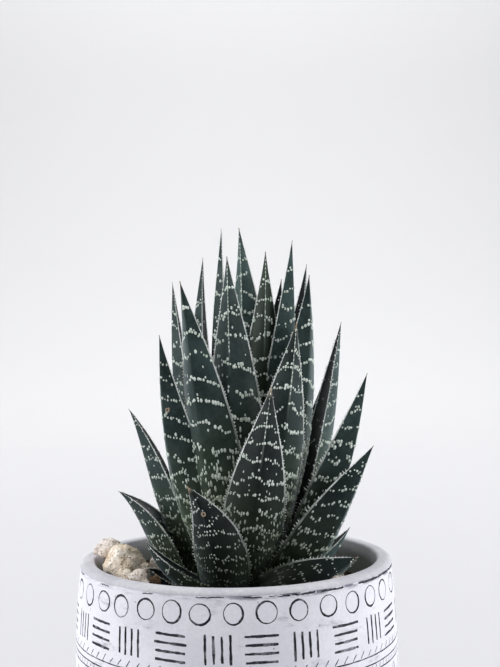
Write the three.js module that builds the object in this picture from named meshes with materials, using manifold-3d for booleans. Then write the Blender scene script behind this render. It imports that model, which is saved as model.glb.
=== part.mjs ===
// A lace aloe in its clay pot. Millimetres, +Z up, origin at the middle of the pot's base.
import * as THREE from "three";
import { mergeVertices } from "three/addons/utils/BufferGeometryUtils.js";
import Module from "manifold-3d";

const wasm = await Module();
wasm.setup();

// ---- driving dimensions -------------------------------------------------------------------

const GAP = 0.3; // clearance that touching pieces keep

// pot
const POT_HEIGHT = 100;
const RIM_OUTER_R = 55.4;
const RIM_INNER_R = 50;
const RIM_ROUNDING = 1.6; // how far below the top the rim's outer curve starts
const BELLY_R = 57.3; // widest ring of the barrel
const BELLY_Z = 54;
const SHOULDER_FALL = 2.2; // how much narrower the wall is at the rim than at the belly
const FOOT_R = 45;
const FOOT_FLARE = 2; // the wall starts this far outside the foot's flat
const WALL = 6.2;
const BASE_THICKNESS = 7;
const POT_SEGMENTS = 40;

// soil and stem
const SOIL_Z = 92;
const STEM_FOOT_R = 15;
const STEM_TOP_R = 4;
const STEM_HEIGHT = 13;
const STEM_SEGMENTS = 20;
const PLANT_X = 3.5; // the plant stands a little off the pot's middle

// leaf
const KEEL_AT_ROOT = 0.36; // keel height over leaf width
const KEEL_GAIN = 0.14; // how much that grows by the tip
const WIDEST_AT = 0.33; // share of the length from the root
const ROOT_NARROWING = 0.18; // share of the width lost from there to the root
const LEAF_RINGS = [0, 0.15, 0.33, 0.5, 0.65, 0.8, 0.91];

// One row for each leaf, by ring from the heart outwards. Root and tip are given about the stem:
// azimuth in degrees (0 is +X, 90 is the back), radius, and height over the soil. bow pushes the
// middle of the spine out, sway pushes it sideways, roll turns the leaf about its own spine.
const LEAVES = [
  // name, root azimuth, radius, height, tip azimuth, radius, height, bow, sway, width, roll
  ["leaf_heart_1", -100, 3, 12, -110, 3, 125.5, 2.5, 6.5, 18.5, -5],
  ["leaf_heart_2", 150, 2.5, 12, 160, 8, 126, 1, 0, 16.5, 24],
  ["leaf_heart_3", -45, 3, 12, -52, 13.5, 116, 3, 0, 17, -38],
  ["leaf_heart_4", -31, 3, 10, -27, 20, 120, 1.5, -1, 19, 0],
  ["leaf_inner_1", -97, 5, 8, -104, 21, 113.5, 4, 1, 20, 0],
  ["leaf_inner_2", 159, 5, 10, 153, 16.3, 116, 5, 2, 18, 16],
  ["leaf_inner_3", 65, 4, 10, 53, 24.5, 108.5, 3, 2, 18, 0],
  ["leaf_inner_4", 22, 4, 8, 18, 25, 113, 1, 1, 19, 8],
  ["leaf_inner_5", 166, 6, 5, 164, 27, 107, 2.5, 0, 19, 11],
  ["leaf_inner_6", 105, 4, 8, 108, 14, 104, 4, 0, 18, 0],
  ["leaf_middle_1", -123, 8, 4, -131, 32, 105, 2, 5, 20.5, 10],
  ["leaf_middle_2", -45, 4, 7, -38.5, 29.5, 107, 6, 2.5, 20.5, -14],
  ["leaf_middle_3", -77, 7, 4.5, -59, 35, 90.5, 4.5, 0.5, 21, -9],
  ["leaf_middle_4", 9, 13, 3, 9, 36.5, 91.5, 1, 3.5, 18.5, 4],
  ["leaf_middle_5", 62, 7, 4, 60, 29, 93, 5, 1.5, 20, 4],
  ["leaf_middle_6", 90, 7, 4, 92, 29, 97, 5, -2, 20, -5],
  ["leaf_middle_7", 116, 7, 4, 120, 30, 85, 6, 2, 20, 6],
  ["leaf_middle_8", 142, 8, 3, 138, 31, 83, 6, -2, 20, -4],
  ["leaf_outer_1", -96, 9, 1, -77.5, 42, 69.5, 6, 0, 21, -4],
  ["leaf_outer_2", -142, 8, 2, -144.5, 35, 87, 5, -2, 19, 8],
  ["leaf_outer_3", -185, 18, 1, -178, 41.5, 61, -8, -5, 19, 6],
  ["leaf_outer_4", -23, 13, 2, -22, 46, 73, 3.8, -2, 18.5, -16],
  ["leaf_outer_5", 36, 11, 2, 40, 38, 66, 6, 2, 20, 6],
  ["leaf_outer_6", 68, 10, 2, 70, 38, 74, 6, -2, 20.5, -6],
  ["leaf_outer_7", 100, 10, 2, 104, 41, 67, 6, 2, 20, 5],
  ["leaf_outer_8", 132, 10, 2, 129, 39, 70, 6, -1.5, 20, -6],
  ["leaf_low_1", -120, 17, -2.5, -117, 41, 37.5, -1, 10, 19, 17],
  ["leaf_low_2", -41, 14, 0, -32, 51, 49, 1.7, -4, 20, -12],
  ["leaf_low_3", -182, 21, 1, -178, 45.5, 31.5, -11, 0, 21, 3],
  ["leaf_low_4", 11, 12.5, 0, 15, 40, 15.5, 4, 1, 11, 0],
  ["leaf_low_5", 50, 14, 0, 53, 43, 43, 6, 2, 19.5, 5],
  ["leaf_low_6", 86, 14, 0, 83, 44, 47, 6, -2, 19, -5],
  ["leaf_low_7", 120, 14, 0, 123, 43, 41, 6, 2, 19, 7],
  ["leaf_low_8", 154, 14, 0, 150, 33, 34, 4, 0, 19, 0],
  ["leaf_lowest_1", -110, 24, 1, -160, 37, 15.5, 5.5, 0, 13, -64],
  ["leaf_lowest_2", -143, 22, -2, -147, 39.5, 8, -0.5, -1.5, 12, -25],
  ["leaf_lowest_3", -72, 22, 0, -35, 46, 12, 3, 0, 15, 0],
  ["leaf_lowest_4", -55, 14, -1, -49, 36, 7.5, 4.5, -1, 12, 0],
  ["leaf_lowest_5", 32, 14, 0, 31, 38, 15, 5, -1, 16, -4],
  ["leaf_lowest_6", 70, 14, 0, 73, 42, 21, 5, 1, 15.5, 6],
  ["leaf_lowest_7", 112, 14, 0, 108, 40, 16, 5, -1, 15, -5],
];

// One row for each stone: name, middle x and y, its three half sizes, turn about Z in degrees, the
// height of its underside over the soil, and the seed of its shape. Stone 2 leans on the rim and on
// stone 1; the others lie on the soil.
const STONES = [
  ["stone_1", -38.5, -12, 6.9, 6.5, 6.9, 10, 0, 3],
  ["stone_2", -45.2, -2, 5.6, 5.6, 3.4, 5, 6.8, 8],
  ["stone_3", -41.5, 4, 4.4, 4.4, 5.6, -20, 0, 5],
  ["stone_4", -37.5, -22, 3.6, 3.6, 4, 0, 0, 12],
  ["stone_5", -32.5, -27.5, 4.2, 4, 3.6, 40, 0, 7],
  ["stone_6", -31.4, -13.5, 2.6, 2.8, 4, 15, 0, 4],
  ["stone_7", -28.6, -7, 2.6, 2.8, 4.3, -30, 0, 2],
  ["stone_8", -27.3, -23.5, 2, 2.2, 3, 60, 0, 11],
  ["stone_9", 33.8, -27.5, 3.4, 3, 3.4, -35, 0, 9],
  ["stone_10", -24.6, -10.2, 2.2, 2.2, 2.6, 20, 0, 6],
];

// ---- colours ------------------------------------------------------------------------------

function finish(color, roughness) {
  return new THREE.MeshStandardMaterial({ color, roughness, metalness: 0 });
}

const CLAY = finish(0xdcdde4, 0.8);
const COMPOST = finish(0x2a2622, 0.95);
const LEAF = finish(0x33483f, 0.5);
const STEM = finish(0x7c8464, 0.7);
const STONE = finish(0xddc9ae, 0.9);

const plant = new THREE.Group();

function addPiece(name, geometry, material) {
  const mesh = new THREE.Mesh(geometry, material);
  mesh.name = name;
  plant.add(mesh);
}

// ---- solids: joining and cutting ----------------------------------------------------------

function toSolid(geometry) {
  const bare = geometry.clone();
  bare.deleteAttribute("normal");
  bare.deleteAttribute("uv");
  const merged = mergeVertices(bare, 1e-4);
  return new wasm.Manifold(new wasm.Mesh({
    numProp: 3,
    vertProperties: new Float32Array(merged.attributes.position.array),
    triVerts: new Uint32Array(merged.index.array),
  }));
}

function toGeometry(solid) {
  const mesh = solid.getMesh();
  const geometry = new THREE.BufferGeometry();
  geometry.setAttribute("position", new THREE.BufferAttribute(mesh.vertProperties, 3));
  geometry.setIndex(new THREE.BufferAttribute(mesh.triVerts, 1));
  geometry.computeVertexNormals();
  return geometry;
}

function largestPart(solid) {
  return solid.decompose().reduce((best, part) => (part.volume() > best.volume() ? part : best));
}

function boxesMeet(a, b) {
  const p = a.boundingBox();
  const q = b.boundingBox();
  return [0, 1, 2].every((k) => p.min[k] < q.max[k] && q.min[k] < p.max[k]);
}

function lathe(points, segments) {
  const outline = points.map(([r, z]) => new THREE.Vector2(r, z));
  return new THREE.LatheGeometry(outline, segments).rotateX(Math.PI / 2);
}

// ---- pot, soil and stem -------------------------------------------------------------------

// Outer radius of the barrel at a height: curved out from the foot to the belly, and in again to
// the rim.
function wallRadius(z) {
  const above = z > BELLY_Z;
  const share = Math.abs(z - BELLY_Z) / (above ? POT_HEIGHT - BELLY_Z : BELLY_Z);
  const fall = above ? SHOULDER_FALL : BELLY_R - FOOT_R - FOOT_FLARE;
  return BELLY_R - fall * share ** 2;
}

// Inner radius: an even wall, but nowhere wider than the mouth and a little more.
function cavityRadius(z) {
  const mouth = RIM_INNER_R + (POT_HEIGHT - z) * 0.1;
  return Math.min(wallRadius(z) - WALL, mouth);
}

function potProfile() {
  const foot = [[0, 0], [FOOT_R, 0]];
  const wall = [3, 10, 20, 32, 44, 56, 68, 80, 90, 96].map((z) => [wallRadius(z), z]);
  const rim = [
    [RIM_OUTER_R, POT_HEIGHT - RIM_ROUNDING],
    [RIM_OUTER_R - 1, POT_HEIGHT - 0.4],
    [RIM_OUTER_R - 2.2, POT_HEIGHT],
    [RIM_INNER_R + 0.7, POT_HEIGHT],
    [RIM_INNER_R, POT_HEIGHT - 0.7],
  ];
  const inside = [88, 72, 54, 36, 20, 12].map((z) => [cavityRadius(z), z]);
  const floor = [[FOOT_R - WALL, BASE_THICKNESS], [0, BASE_THICKNESS]];
  return [...foot, ...wall, ...rim, ...inside, ...floor];
}

function soilProfile() {
  const floor = BASE_THICKNESS + GAP;
  const side = [12, 20, 36, 54, 72, 88, SOIL_Z].map((z) => [cavityRadius(z) - GAP, z]);
  return [[0, floor], [FOOT_R - WALL - GAP, floor], ...side, [0, SOIL_Z]];
}

// The stem is a short blunt cone on the soil; grow makes the larger copy that leaves clear space
// round it.
function stemGeometry(grow) {
  const foot = SOIL_Z + GAP - grow;
  const top = SOIL_Z + STEM_HEIGHT + grow;
  const shoulder = top - 5;
  const profile = [
    [0, foot],
    [STEM_FOOT_R + grow, foot],
    [STEM_FOOT_R + grow, foot + 1.2 + grow],
    [STEM_TOP_R + 3 + grow, shoulder],
    [STEM_TOP_R + grow, top],
    [0, top],
  ];
  return lathe(profile, STEM_SEGMENTS).translate(PLANT_X, 0, 0);
}

// ---- leaves -------------------------------------------------------------------------------

const UP = new THREE.Vector3(0, 0, 1);

// The leaf's section: margin, back, keel, back, margin, and the nearly flat inner face.
// Across in half widths, out in keel heights.
const SECTION = [[1, 0], [0.62, 0.76], [0, 1], [-0.62, 0.76], [-1, 0], [0, -0.04]];

function direction(azimuth) {
  const angle = THREE.MathUtils.degToRad(azimuth);
  return new THREE.Vector3(Math.cos(angle), Math.sin(angle), 0);
}

function aboutStem(azimuth, radius, height) {
  return direction(azimuth).multiplyScalar(radius).add(new THREE.Vector3(PLANT_X, 0, SOIL_Z + height));
}

// Share of the full width at a share of the length: a clasping base, then a long even taper.
function taper(t) {
  if (t < WIDEST_AT) {
    return 1 - ROOT_NARROWING * ((WIDEST_AT - t) / WIDEST_AT) ** 2;
  }
  return Math.sin((Math.PI / 2) * ((1 - t) / (1 - WIDEST_AT))) ** 1.1;
}

// The leaf's middle line, and the direction that its back faces before it is turned.
function leafSpine([, rootAz, rootR, rootH, tipAz, tipR, tipH, bow, sway]) {
  const root = aboutStem(rootAz, rootR, rootH);
  const tip = aboutStem(tipAz, tipR, tipH);
  const outward = direction((rootAz + tipAz) / 2);
  const chord = tip.clone().sub(root).normalize();
  const bulge = outward.clone().addScaledVector(chord, -outward.dot(chord)).normalize();
  const sideways = new THREE.Vector3().crossVectors(UP, outward);
  const middle = root.clone().lerp(tip, 0.5);
  middle.addScaledVector(bulge, bow).addScaledVector(sideways, sway);
  return { outward, curve: new THREE.QuadraticBezierCurve3(root, middle, tip) };
}

// A leaf; grow makes the larger copy that leaves clear space round it.
function leafGeometry(row, grow) {
  const [width, roll] = row.slice(-2);
  const { outward, curve } = leafSpine(row);
  const positions = [];
  for (const t of LEAF_RINGS) {
    const along = curve.getTangent(t);
    const back = outward.clone().addScaledVector(along, -outward.dot(along)).normalize();
    back.applyAxisAngle(along, THREE.MathUtils.degToRad(roll));
    const across = new THREE.Vector3().crossVectors(along, back);
    const centre = curve.getPoint(t);
    if (t === 0) {
      centre.addScaledVector(along, -grow);
    }
    const half = (width / 2) * taper(t);
    const keel = (KEEL_AT_ROOT + KEEL_GAIN * t) * width * taper(t);
    for (const [u, v] of SECTION) {
      const corner = centre.clone();
      corner.addScaledVector(across, u * half + Math.sign(u) * grow);
      corner.addScaledVector(back, v * keel + Math.sign(v) * grow);
      positions.push(...corner.toArray());
    }
  }
  const apex = curve.getPoint(1).addScaledVector(curve.getTangent(1), grow * 2);
  positions.push(...apex.toArray());
  return skin(positions, LEAF_RINGS.length, SECTION.length);
}

// Closes rings of points into a body: a flat root, the sides, and a fan to the last point.
function skin(positions, rings, sides) {
  const faces = [];
  const last = rings * sides;
  const end = last - sides;
  for (let s = 0; s < sides; s++) {
    const next = (s + 1) % sides;
    for (let r = 0; r < rings - 1; r++) {
      const a = r * sides + s;
      const b = r * sides + next;
      faces.push(a, b + sides, b, a, a + sides, b + sides);
    }
    faces.push(end + s, last, end + next);
    if (s > 0 && s < sides - 1) {
      faces.push(0, s, s + 1);
    }
  }
  const geometry = new THREE.BufferGeometry();
  geometry.setAttribute("position", new THREE.Float32BufferAttribute(positions, 3));
  geometry.setIndex(faces);
  return geometry;
}

// ---- stones -------------------------------------------------------------------------------

// A ball of small faces with shared corners.
function ball() {
  const geometry = new THREE.IcosahedronGeometry(1, 1);
  geometry.deleteAttribute("uv");
  geometry.deleteAttribute("normal");
  return mergeVertices(geometry);
}

// How far the lump stands in or out in a direction: three slow waves.
function lumpiness({ x, y, z }, seed) {
  const waves = Math.sin(3.1 * x + seed) + Math.sin(2.7 * y + 2 * seed) + Math.sin(3.4 * z + 5 * seed);
  return 1 + 0.06 * waves;
}

function stoneGeometry([, x, y, a, b, c, turn, lift, seed], grow) {
  const geometry = ball();
  const corners = geometry.attributes.position;
  const corner = new THREE.Vector3();
  for (let i = 0; i < corners.count; i++) {
    corner.fromBufferAttribute(corners, i);
    corner.multiplyScalar(lumpiness(corner, seed));
    corners.setXYZ(i, corner.x * (a + grow), corner.y * (b + grow), corner.z * (c + grow));
  }
  geometry.rotateZ(THREE.MathUtils.degToRad(turn));
  geometry.computeBoundingBox();
  const underside = SOIL_Z + GAP + lift - grow;
  return geometry.translate(x, y, underside - geometry.boundingBox.min.z);
}

// ---- the plant, put together --------------------------------------------------------------

addPiece("pot", lathe(potProfile(), POT_SEGMENTS), CLAY);
addPiece("soil", lathe(soilProfile(), POT_SEGMENTS), COMPOST);
addPiece("stem", stemGeometry(0), STEM);

// Each leaf and stone makes room for the ones set before it, for the stem and for the soil.
const GROUND_DEPTH = 40;
const ground = new THREE.BoxGeometry(2 * BELLY_R, 2 * BELLY_R, GROUND_DEPTH);
ground.translate(0, 0, SOIL_Z + GAP - GROUND_DEPTH / 2);
const clearances = [toSolid(stemGeometry(GAP)), toSolid(ground)];

function settle(name, geometry, roomier, material) {
  let solid = toSolid(geometry);
  for (const taken of clearances) {
    if (boxesMeet(solid, taken)) {
      solid = solid.subtract(taken);
    }
  }
  addPiece(name, toGeometry(largestPart(solid)), material);
  clearances.push(toSolid(roomier));
}

for (const row of LEAVES) {
  settle(row[0], leafGeometry(row, 0), leafGeometry(row, GAP), LEAF);
}
for (const row of STONES) {
  settle(row[0], stoneGeometry(row, 0), stoneGeometry(row, GAP), STONE);
}

export default plant;
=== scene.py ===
"""A lace aloe in its stamped clay pot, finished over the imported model.

Shapes are worked in millimetres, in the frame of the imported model, and finish_piece() brings
each one to metres once. The pot's base is at z = 0 and +Z is up.
"""
import math
import random

import bmesh
import bpy
from mathutils import Matrix, Vector, geometry, kdtree, noise


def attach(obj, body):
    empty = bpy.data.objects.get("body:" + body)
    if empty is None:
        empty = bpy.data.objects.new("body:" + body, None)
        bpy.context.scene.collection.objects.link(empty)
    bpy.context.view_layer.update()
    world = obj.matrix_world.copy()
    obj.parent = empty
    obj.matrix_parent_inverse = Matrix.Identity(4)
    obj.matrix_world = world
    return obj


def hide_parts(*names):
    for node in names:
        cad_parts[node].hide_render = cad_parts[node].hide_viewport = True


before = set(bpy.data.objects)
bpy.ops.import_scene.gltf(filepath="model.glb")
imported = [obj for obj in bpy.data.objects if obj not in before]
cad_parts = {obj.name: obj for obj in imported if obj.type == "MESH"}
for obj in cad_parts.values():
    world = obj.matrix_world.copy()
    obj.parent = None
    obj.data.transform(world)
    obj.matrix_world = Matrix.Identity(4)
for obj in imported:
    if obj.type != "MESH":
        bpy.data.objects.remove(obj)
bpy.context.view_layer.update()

MM = 0.001
UP = Vector((0, 0, 1))

# ---- sizes in millimetres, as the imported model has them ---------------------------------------

POT_HEIGHT = 100
RIM_OUTER_R = 55.4
RIM_INNER_R = 50
RIM_ROUNDING = 1.6
BELLY_R = 57.3
BELLY_Z = 54
SHOULDER_FALL = 2.2
FOOT_R = 45
FOOT_FLARE = 2
WALL = 6.2
BASE_THICKNESS = 7
SOIL_Z = 92
SOIL_GAP = 0.3
STEM_FOOT_R = 15
STEM_TOP_R = 4
STEM_HEIGHT = 13
PLANT_X = 3.5
KEEL_AT_ROOT = 0.36     # keel height over leaf width
KEEL_GAIN = 0.14        # how much that grows by the tip
WIDEST_AT = 0.33
ROOT_NARROWING = 0.18
FACE_HOLLOW = 0.1       # depth of the inner face's channel over the keel height

# One row for each leaf, by ring from the heart outwards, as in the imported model. Root and tip are
# given about the stem: azimuth in degrees, radius, and height over the soil. bow pushes the
# middle of the spine out, sway pushes it sideways, roll turns the leaf about its own spine.
LEAVES = [
    # name, root azimuth, radius, height, tip azimuth, radius, height, bow, sway, width, roll
    ("leaf_heart_1", -100, 3, 12, -110, 3, 125.5, 2.5, 6.5, 18.5, -5),
    ("leaf_heart_2", 150, 2.5, 12, 160, 8, 126, 1, 0, 16.5, 24),
    ("leaf_heart_3", -45, 3, 12, -52, 13.5, 116, 3, 0, 17, -38),
    ("leaf_heart_4", -31, 3, 10, -27, 20, 120, 1.5, -1, 19, 0),
    ("leaf_inner_1", -97, 5, 8, -104, 21, 113.5, 4, 1, 20, 0),
    ("leaf_inner_2", 159, 5, 10, 153, 16.3, 116, 5, 2, 18, 16),
    ("leaf_inner_3", 65, 4, 10, 53, 24.5, 108.5, 3, 2, 18, 0),
    ("leaf_inner_4", 22, 4, 8, 18, 25, 113, 1, 1, 19, 8),
    ("leaf_inner_5", 166, 6, 5, 164, 27, 107, 2.5, 0, 19, 11),
    ("leaf_inner_6", 105, 4, 8, 108, 14, 104, 4, 0, 18, 0),
    ("leaf_middle_1", -123, 8, 4, -131, 32, 105, 2, 5, 20.5, 10),
    ("leaf_middle_2", -45, 4, 7, -38.5, 29.5, 107, 6, 2.5, 20.5, -14),
    ("leaf_middle_3", -77, 7, 4.5, -59, 35, 90.5, 4.5, 0.5, 21, -9),
    ("leaf_middle_4", 9, 13, 3, 9, 36.5, 91.5, 1, 3.5, 18.5, 4),
    ("leaf_middle_5", 62, 7, 4, 60, 29, 93, 5, 1.5, 20, 4),
    ("leaf_middle_6", 90, 7, 4, 92, 29, 97, 5, -2, 20, -5),
    ("leaf_middle_7", 116, 7, 4, 120, 30, 85, 6, 2, 20, 6),
    ("leaf_middle_8", 142, 8, 3, 138, 31, 83, 6, -2, 20, -4),
    ("leaf_outer_1", -96, 9, 1, -77.5, 42, 69.5, 6, 0, 21, -4),
    ("leaf_outer_2", -142, 8, 2, -144.5, 35, 87, 5, -2, 19, 8),
    ("leaf_outer_3", -185, 18, 1, -178, 41.5, 61, -8, -5, 19, 6),
    ("leaf_outer_4", -23, 13, 2, -22, 46, 73, 3.8, -2, 18.5, -16),
    ("leaf_outer_5", 36, 11, 2, 40, 38, 66, 6, 2, 20, 6),
    ("leaf_outer_6", 68, 10, 2, 70, 38, 74, 6, -2, 20.5, -6),
    ("leaf_outer_7", 100, 10, 2, 104, 41, 67, 6, 2, 20, 5),
    ("leaf_outer_8", 132, 10, 2, 129, 39, 70, 6, -1.5, 20, -6),
    ("leaf_low_1", -120, 17, -2.5, -117, 41, 37.5, -1, 10, 19, 17),
    ("leaf_low_2", -41, 14, 0, -32, 51, 49, 1.7, -4, 20, -12),
    ("leaf_low_3", -182, 21, 1, -178, 45.5, 31.5, -11, 0, 21, 3),
    ("leaf_low_4", 11, 12.5, 0, 15, 40, 15.5, 4, 1, 11, 0),
    ("leaf_low_5", 50, 14, 0, 53, 43, 43, 6, 2, 19.5, 5),
    ("leaf_low_6", 86, 14, 0, 83, 44, 47, 6, -2, 19, -5),
    ("leaf_low_7", 120, 14, 0, 123, 43, 41, 6, 2, 19, 7),
    ("leaf_low_8", 154, 14, 0, 150, 33, 34, 4, 0, 19, 0),
    ("leaf_lowest_1", -110, 24, 1, -160, 37, 15.5, 5.5, 0, 13, -64),
    ("leaf_lowest_2", -143, 22, -2, -147, 39.5, 8, -0.5, -1.5, 12, -25),
    ("leaf_lowest_3", -72, 22, 0, -35, 46, 12, 3, 0, 15, 0),
    ("leaf_lowest_4", -55, 14, -1, -49, 36, 7.5, 4.5, -1, 12, 0),
    ("leaf_lowest_5", 32, 14, 0, 31, 38, 15, 5, -1, 16, -4),
    ("leaf_lowest_6", 70, 14, 0, 73, 42, 21, 5, 1, 15.5, 6),
    ("leaf_lowest_7", 112, 14, 0, 108, 40, 16, 5, -1, 15, -5),
]

# What a leaf looks like unless its ring or its own row says otherwise.
PLAIN_LOOK = dict(
    dry_from=1.0,       # share of the length where the tip turns dry and tan
    olive=0.0,          # how olive the skin is, instead of blue
    root_shade=0.0,           # painted shade that dims the leaf towards the root
    keel_line=0.15,     # how white the line on the keel is
    keel_row=0,         # how far a row of dots runs down the keel from the tip
    band_pitch=7.0,     # from one band of tubercles to the next
    more_gaps=0.0,      # share of the tubercles that is missing besides the usual share
    dot_size=1.0,       # size of the tubercles over the usual size
)
# How young the skin looks in each ring, and the length of the longest teeth.
RING_LOOKS = {
    "heart": dict(young=1.0, tooth=0.6),
    "inner": dict(young=0.5, tooth=0.65),
    "middle": dict(young=0.5, tooth=0.75),
    "outer": dict(young=0.5, tooth=0.8),
    "low": dict(young=0.3, tooth=0.8),
    "lowest": dict(young=0.2, tooth=0.9),
}
LEAF_LOOKS = {
    "leaf_heart_1": dict(keel_line=1.0, keel_row=28),
    "leaf_heart_2": dict(young=0.5, keel_line=1.0, keel_row=28, band_pitch=8.0),
    "leaf_heart_3": dict(young=0.35, olive=0.7, keel_line=1.0, keel_row=26),
    "leaf_heart_4": dict(band_pitch=6.2),
    "leaf_inner_1": dict(young=0.42, keel_line=0.7, keel_row=28, band_pitch=8.6, more_gaps=-0.08,
                         dot_size=1.06),
    "leaf_inner_2": dict(keel_line=1.0, keel_row=28),
    "leaf_inner_3": dict(olive=0.3),
    "leaf_inner_5": dict(keel_line=1.0, keel_row=28),
    "leaf_middle_1": dict(band_pitch=7.8, more_gaps=0.04),
    "leaf_middle_3": dict(young=0.2, dry_from=0.985, keel_line=0.9, keel_row=20, band_pitch=6.8,
                          more_gaps=-0.12, dot_size=0.92),
    "leaf_middle_4": dict(young=0.9, tooth=1.6),
    "leaf_outer_1": dict(young=0.0, root_shade=0.3, dry_from=0.98, keel_line=0.6, keel_row=13,
                         band_pitch=6.0, dot_size=0.88),
    "leaf_outer_2": dict(more_gaps=-0.05, dot_size=0.92),
    "leaf_outer_3": dict(dot_size=0.8),
    "leaf_outer_4": dict(young=0.6, band_pitch=6.0, tooth=1.9),
    "leaf_low_1": dict(young=0.0, root_shade=0.62, dry_from=0.975, band_pitch=4.3, more_gaps=0.05,
                       dot_size=0.66, tooth=1.0),
    "leaf_low_2": dict(young=0.35, root_shade=0.15, band_pitch=5.7, more_gaps=0.05, dot_size=0.84,
                       tooth=1.7),
    "leaf_low_3": dict(band_pitch=4.8, more_gaps=0.1, dot_size=0.75),
    "leaf_low_4": dict(young=1.0, band_pitch=5.0, more_gaps=0.8),
    "leaf_lowest_1": dict(root_shade=0.3, band_pitch=5.0, more_gaps=0.3, dot_size=0.65),
    "leaf_lowest_2": dict(root_shade=0.4, band_pitch=5.0, more_gaps=0.3, dot_size=0.65),
    "leaf_lowest_3": dict(root_shade=0.75, dry_from=0.985, band_pitch=5.0, more_gaps=0.05, dot_size=0.65,
                          tooth=1.1),
}

# One row for each stone: name, middle x and y, its three half sizes, turn about Z in degrees, the
# height of its underside over the soil, the seed of its shape, and its finish.
STONES = [
    ("stone_1", -38.5, -12, 6.9, 6.5, 6.9, 10, 0, 3, "cream"),
    ("stone_2", -45.2, -2, 5.6, 5.6, 3.4, 5, 6.8, 8, "blush"),
    ("stone_3", -41.5, 4, 4.4, 4.4, 5.6, -20, 0, 5, "cream"),
    ("stone_4", -37.5, -22, 3.6, 3.6, 4, 0, 0, 12, "cream"),
    ("stone_5", -32.5, -27.5, 4.2, 4, 3.6, 40, 0, 7, "blush"),
    ("stone_6", -31.4, -13.5, 2.6, 2.8, 4, 15, 0, 4, "cream"),
    ("stone_7", -28.6, -7, 2.6, 2.8, 4.3, -30, 0, 2, "blush"),
    ("stone_8", -27.3, -23.5, 2, 2.2, 3, 60, 0, 11, "bark"),
    ("stone_9", 33.8, -27.5, 3.4, 3, 3.4, -35, 0, 9, "blush"),
    ("stone_10", -24.6, -10.2, 2.2, 2.2, 2.6, 20, 0, 6, "cream"),
]


# ---- plain helpers ----------------------------------------------------------------------------

def smooth_step(low, high, value):
    """0 below low, 1 above high, and an even turn between."""
    share = min(max((value - low) / (high - low), 0), 1)
    return share * share * (3 - 2 * share)


def linear(red, green, blue):
    """A colour given on the 0 to 255 scale, as the nodes want it."""
    def channel(value):
        value /= 255
        return value / 12.92 if value <= 0.04045 else ((value + 0.055) / 1.055) ** 2.4
    return (channel(red), channel(green), channel(blue), 1)


def direction(azimuth):
    angle = math.radians(azimuth)
    return Vector((math.cos(angle), math.sin(angle), 0))


def new_object(name, data):
    holder = bpy.data.objects.new(name, data)
    bpy.context.scene.collection.objects.link(holder)
    return holder


def ring_quads(count, sides, first=0):
    """Quads between closed rings of points that follow each other from point first on."""
    quads = []
    for r in range(count - 1):
        a, b = first + r * sides, first + (r + 1) * sides
        for s in range(sides):
            n = (s + 1) % sides
            quads.append((a + s, a + n, b + n, b + s))
    return quads


def end_caps(count, sides):
    """The faces that close the first and the last of such rings."""
    return [tuple(reversed(range(sides))), tuple(range((count - 1) * sides, count * sides))]


def mesh_of(name, points, faces, materials, face_materials=None):
    """A smooth-shaded mesh with its materials; face_materials gives each face's slot."""
    mesh = bpy.data.meshes.new(name)
    mesh.from_pydata([tuple(p) for p in points], [], faces)
    for material in materials:
        mesh.materials.append(material)
    if face_materials is not None:
        mesh.polygons.foreach_set("material_index", face_materials)
    mesh.shade_smooth()
    mesh.update()
    return mesh


def set_point_values(mesh, name, values):
    attribute = mesh.attributes.new(name, "FLOAT", "POINT")
    attribute.data.foreach_set("value", values)


def finish_piece(piece, slot, *nodes):
    """Brings a piece from millimetres to metres and hands it to the frame in place of its nodes."""
    piece.data.transform(Matrix.Scale(MM, 4))
    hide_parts(*nodes)
    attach(piece, "root")


# ---- node trees -------------------------------------------------------------------------------

class Wire:
    """An output of a node. Arithmetic on it adds the nodes that do it."""

    def __init__(self, graph, socket):
        self.graph = graph
        self.socket = socket

    def __add__(self, other):
        return self.graph.maths("ADD", self, other)

    def __sub__(self, other):
        return self.graph.maths("SUBTRACT", self, other)

    def __rsub__(self, other):
        return self.graph.maths("SUBTRACT", other, self)

    def __mul__(self, other):
        return self.graph.maths("MULTIPLY", self, other)

    def __truediv__(self, other):
        return self.graph.maths("DIVIDE", self, other)

    def __abs__(self):
        return self.graph.maths("ABSOLUTE", self)


def plug(socket, value):
    """Gives an input a wire or a plain value."""
    if isinstance(value, Wire):
        value.graph.tree.links.new(value.socket, socket)
    else:
        socket.default_value = value


def tint(colour):
    """A colour for an input: a wire as it is, or three numbers from 0 to 255."""
    return colour if isinstance(colour, Wire) else linear(*colour)


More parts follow.
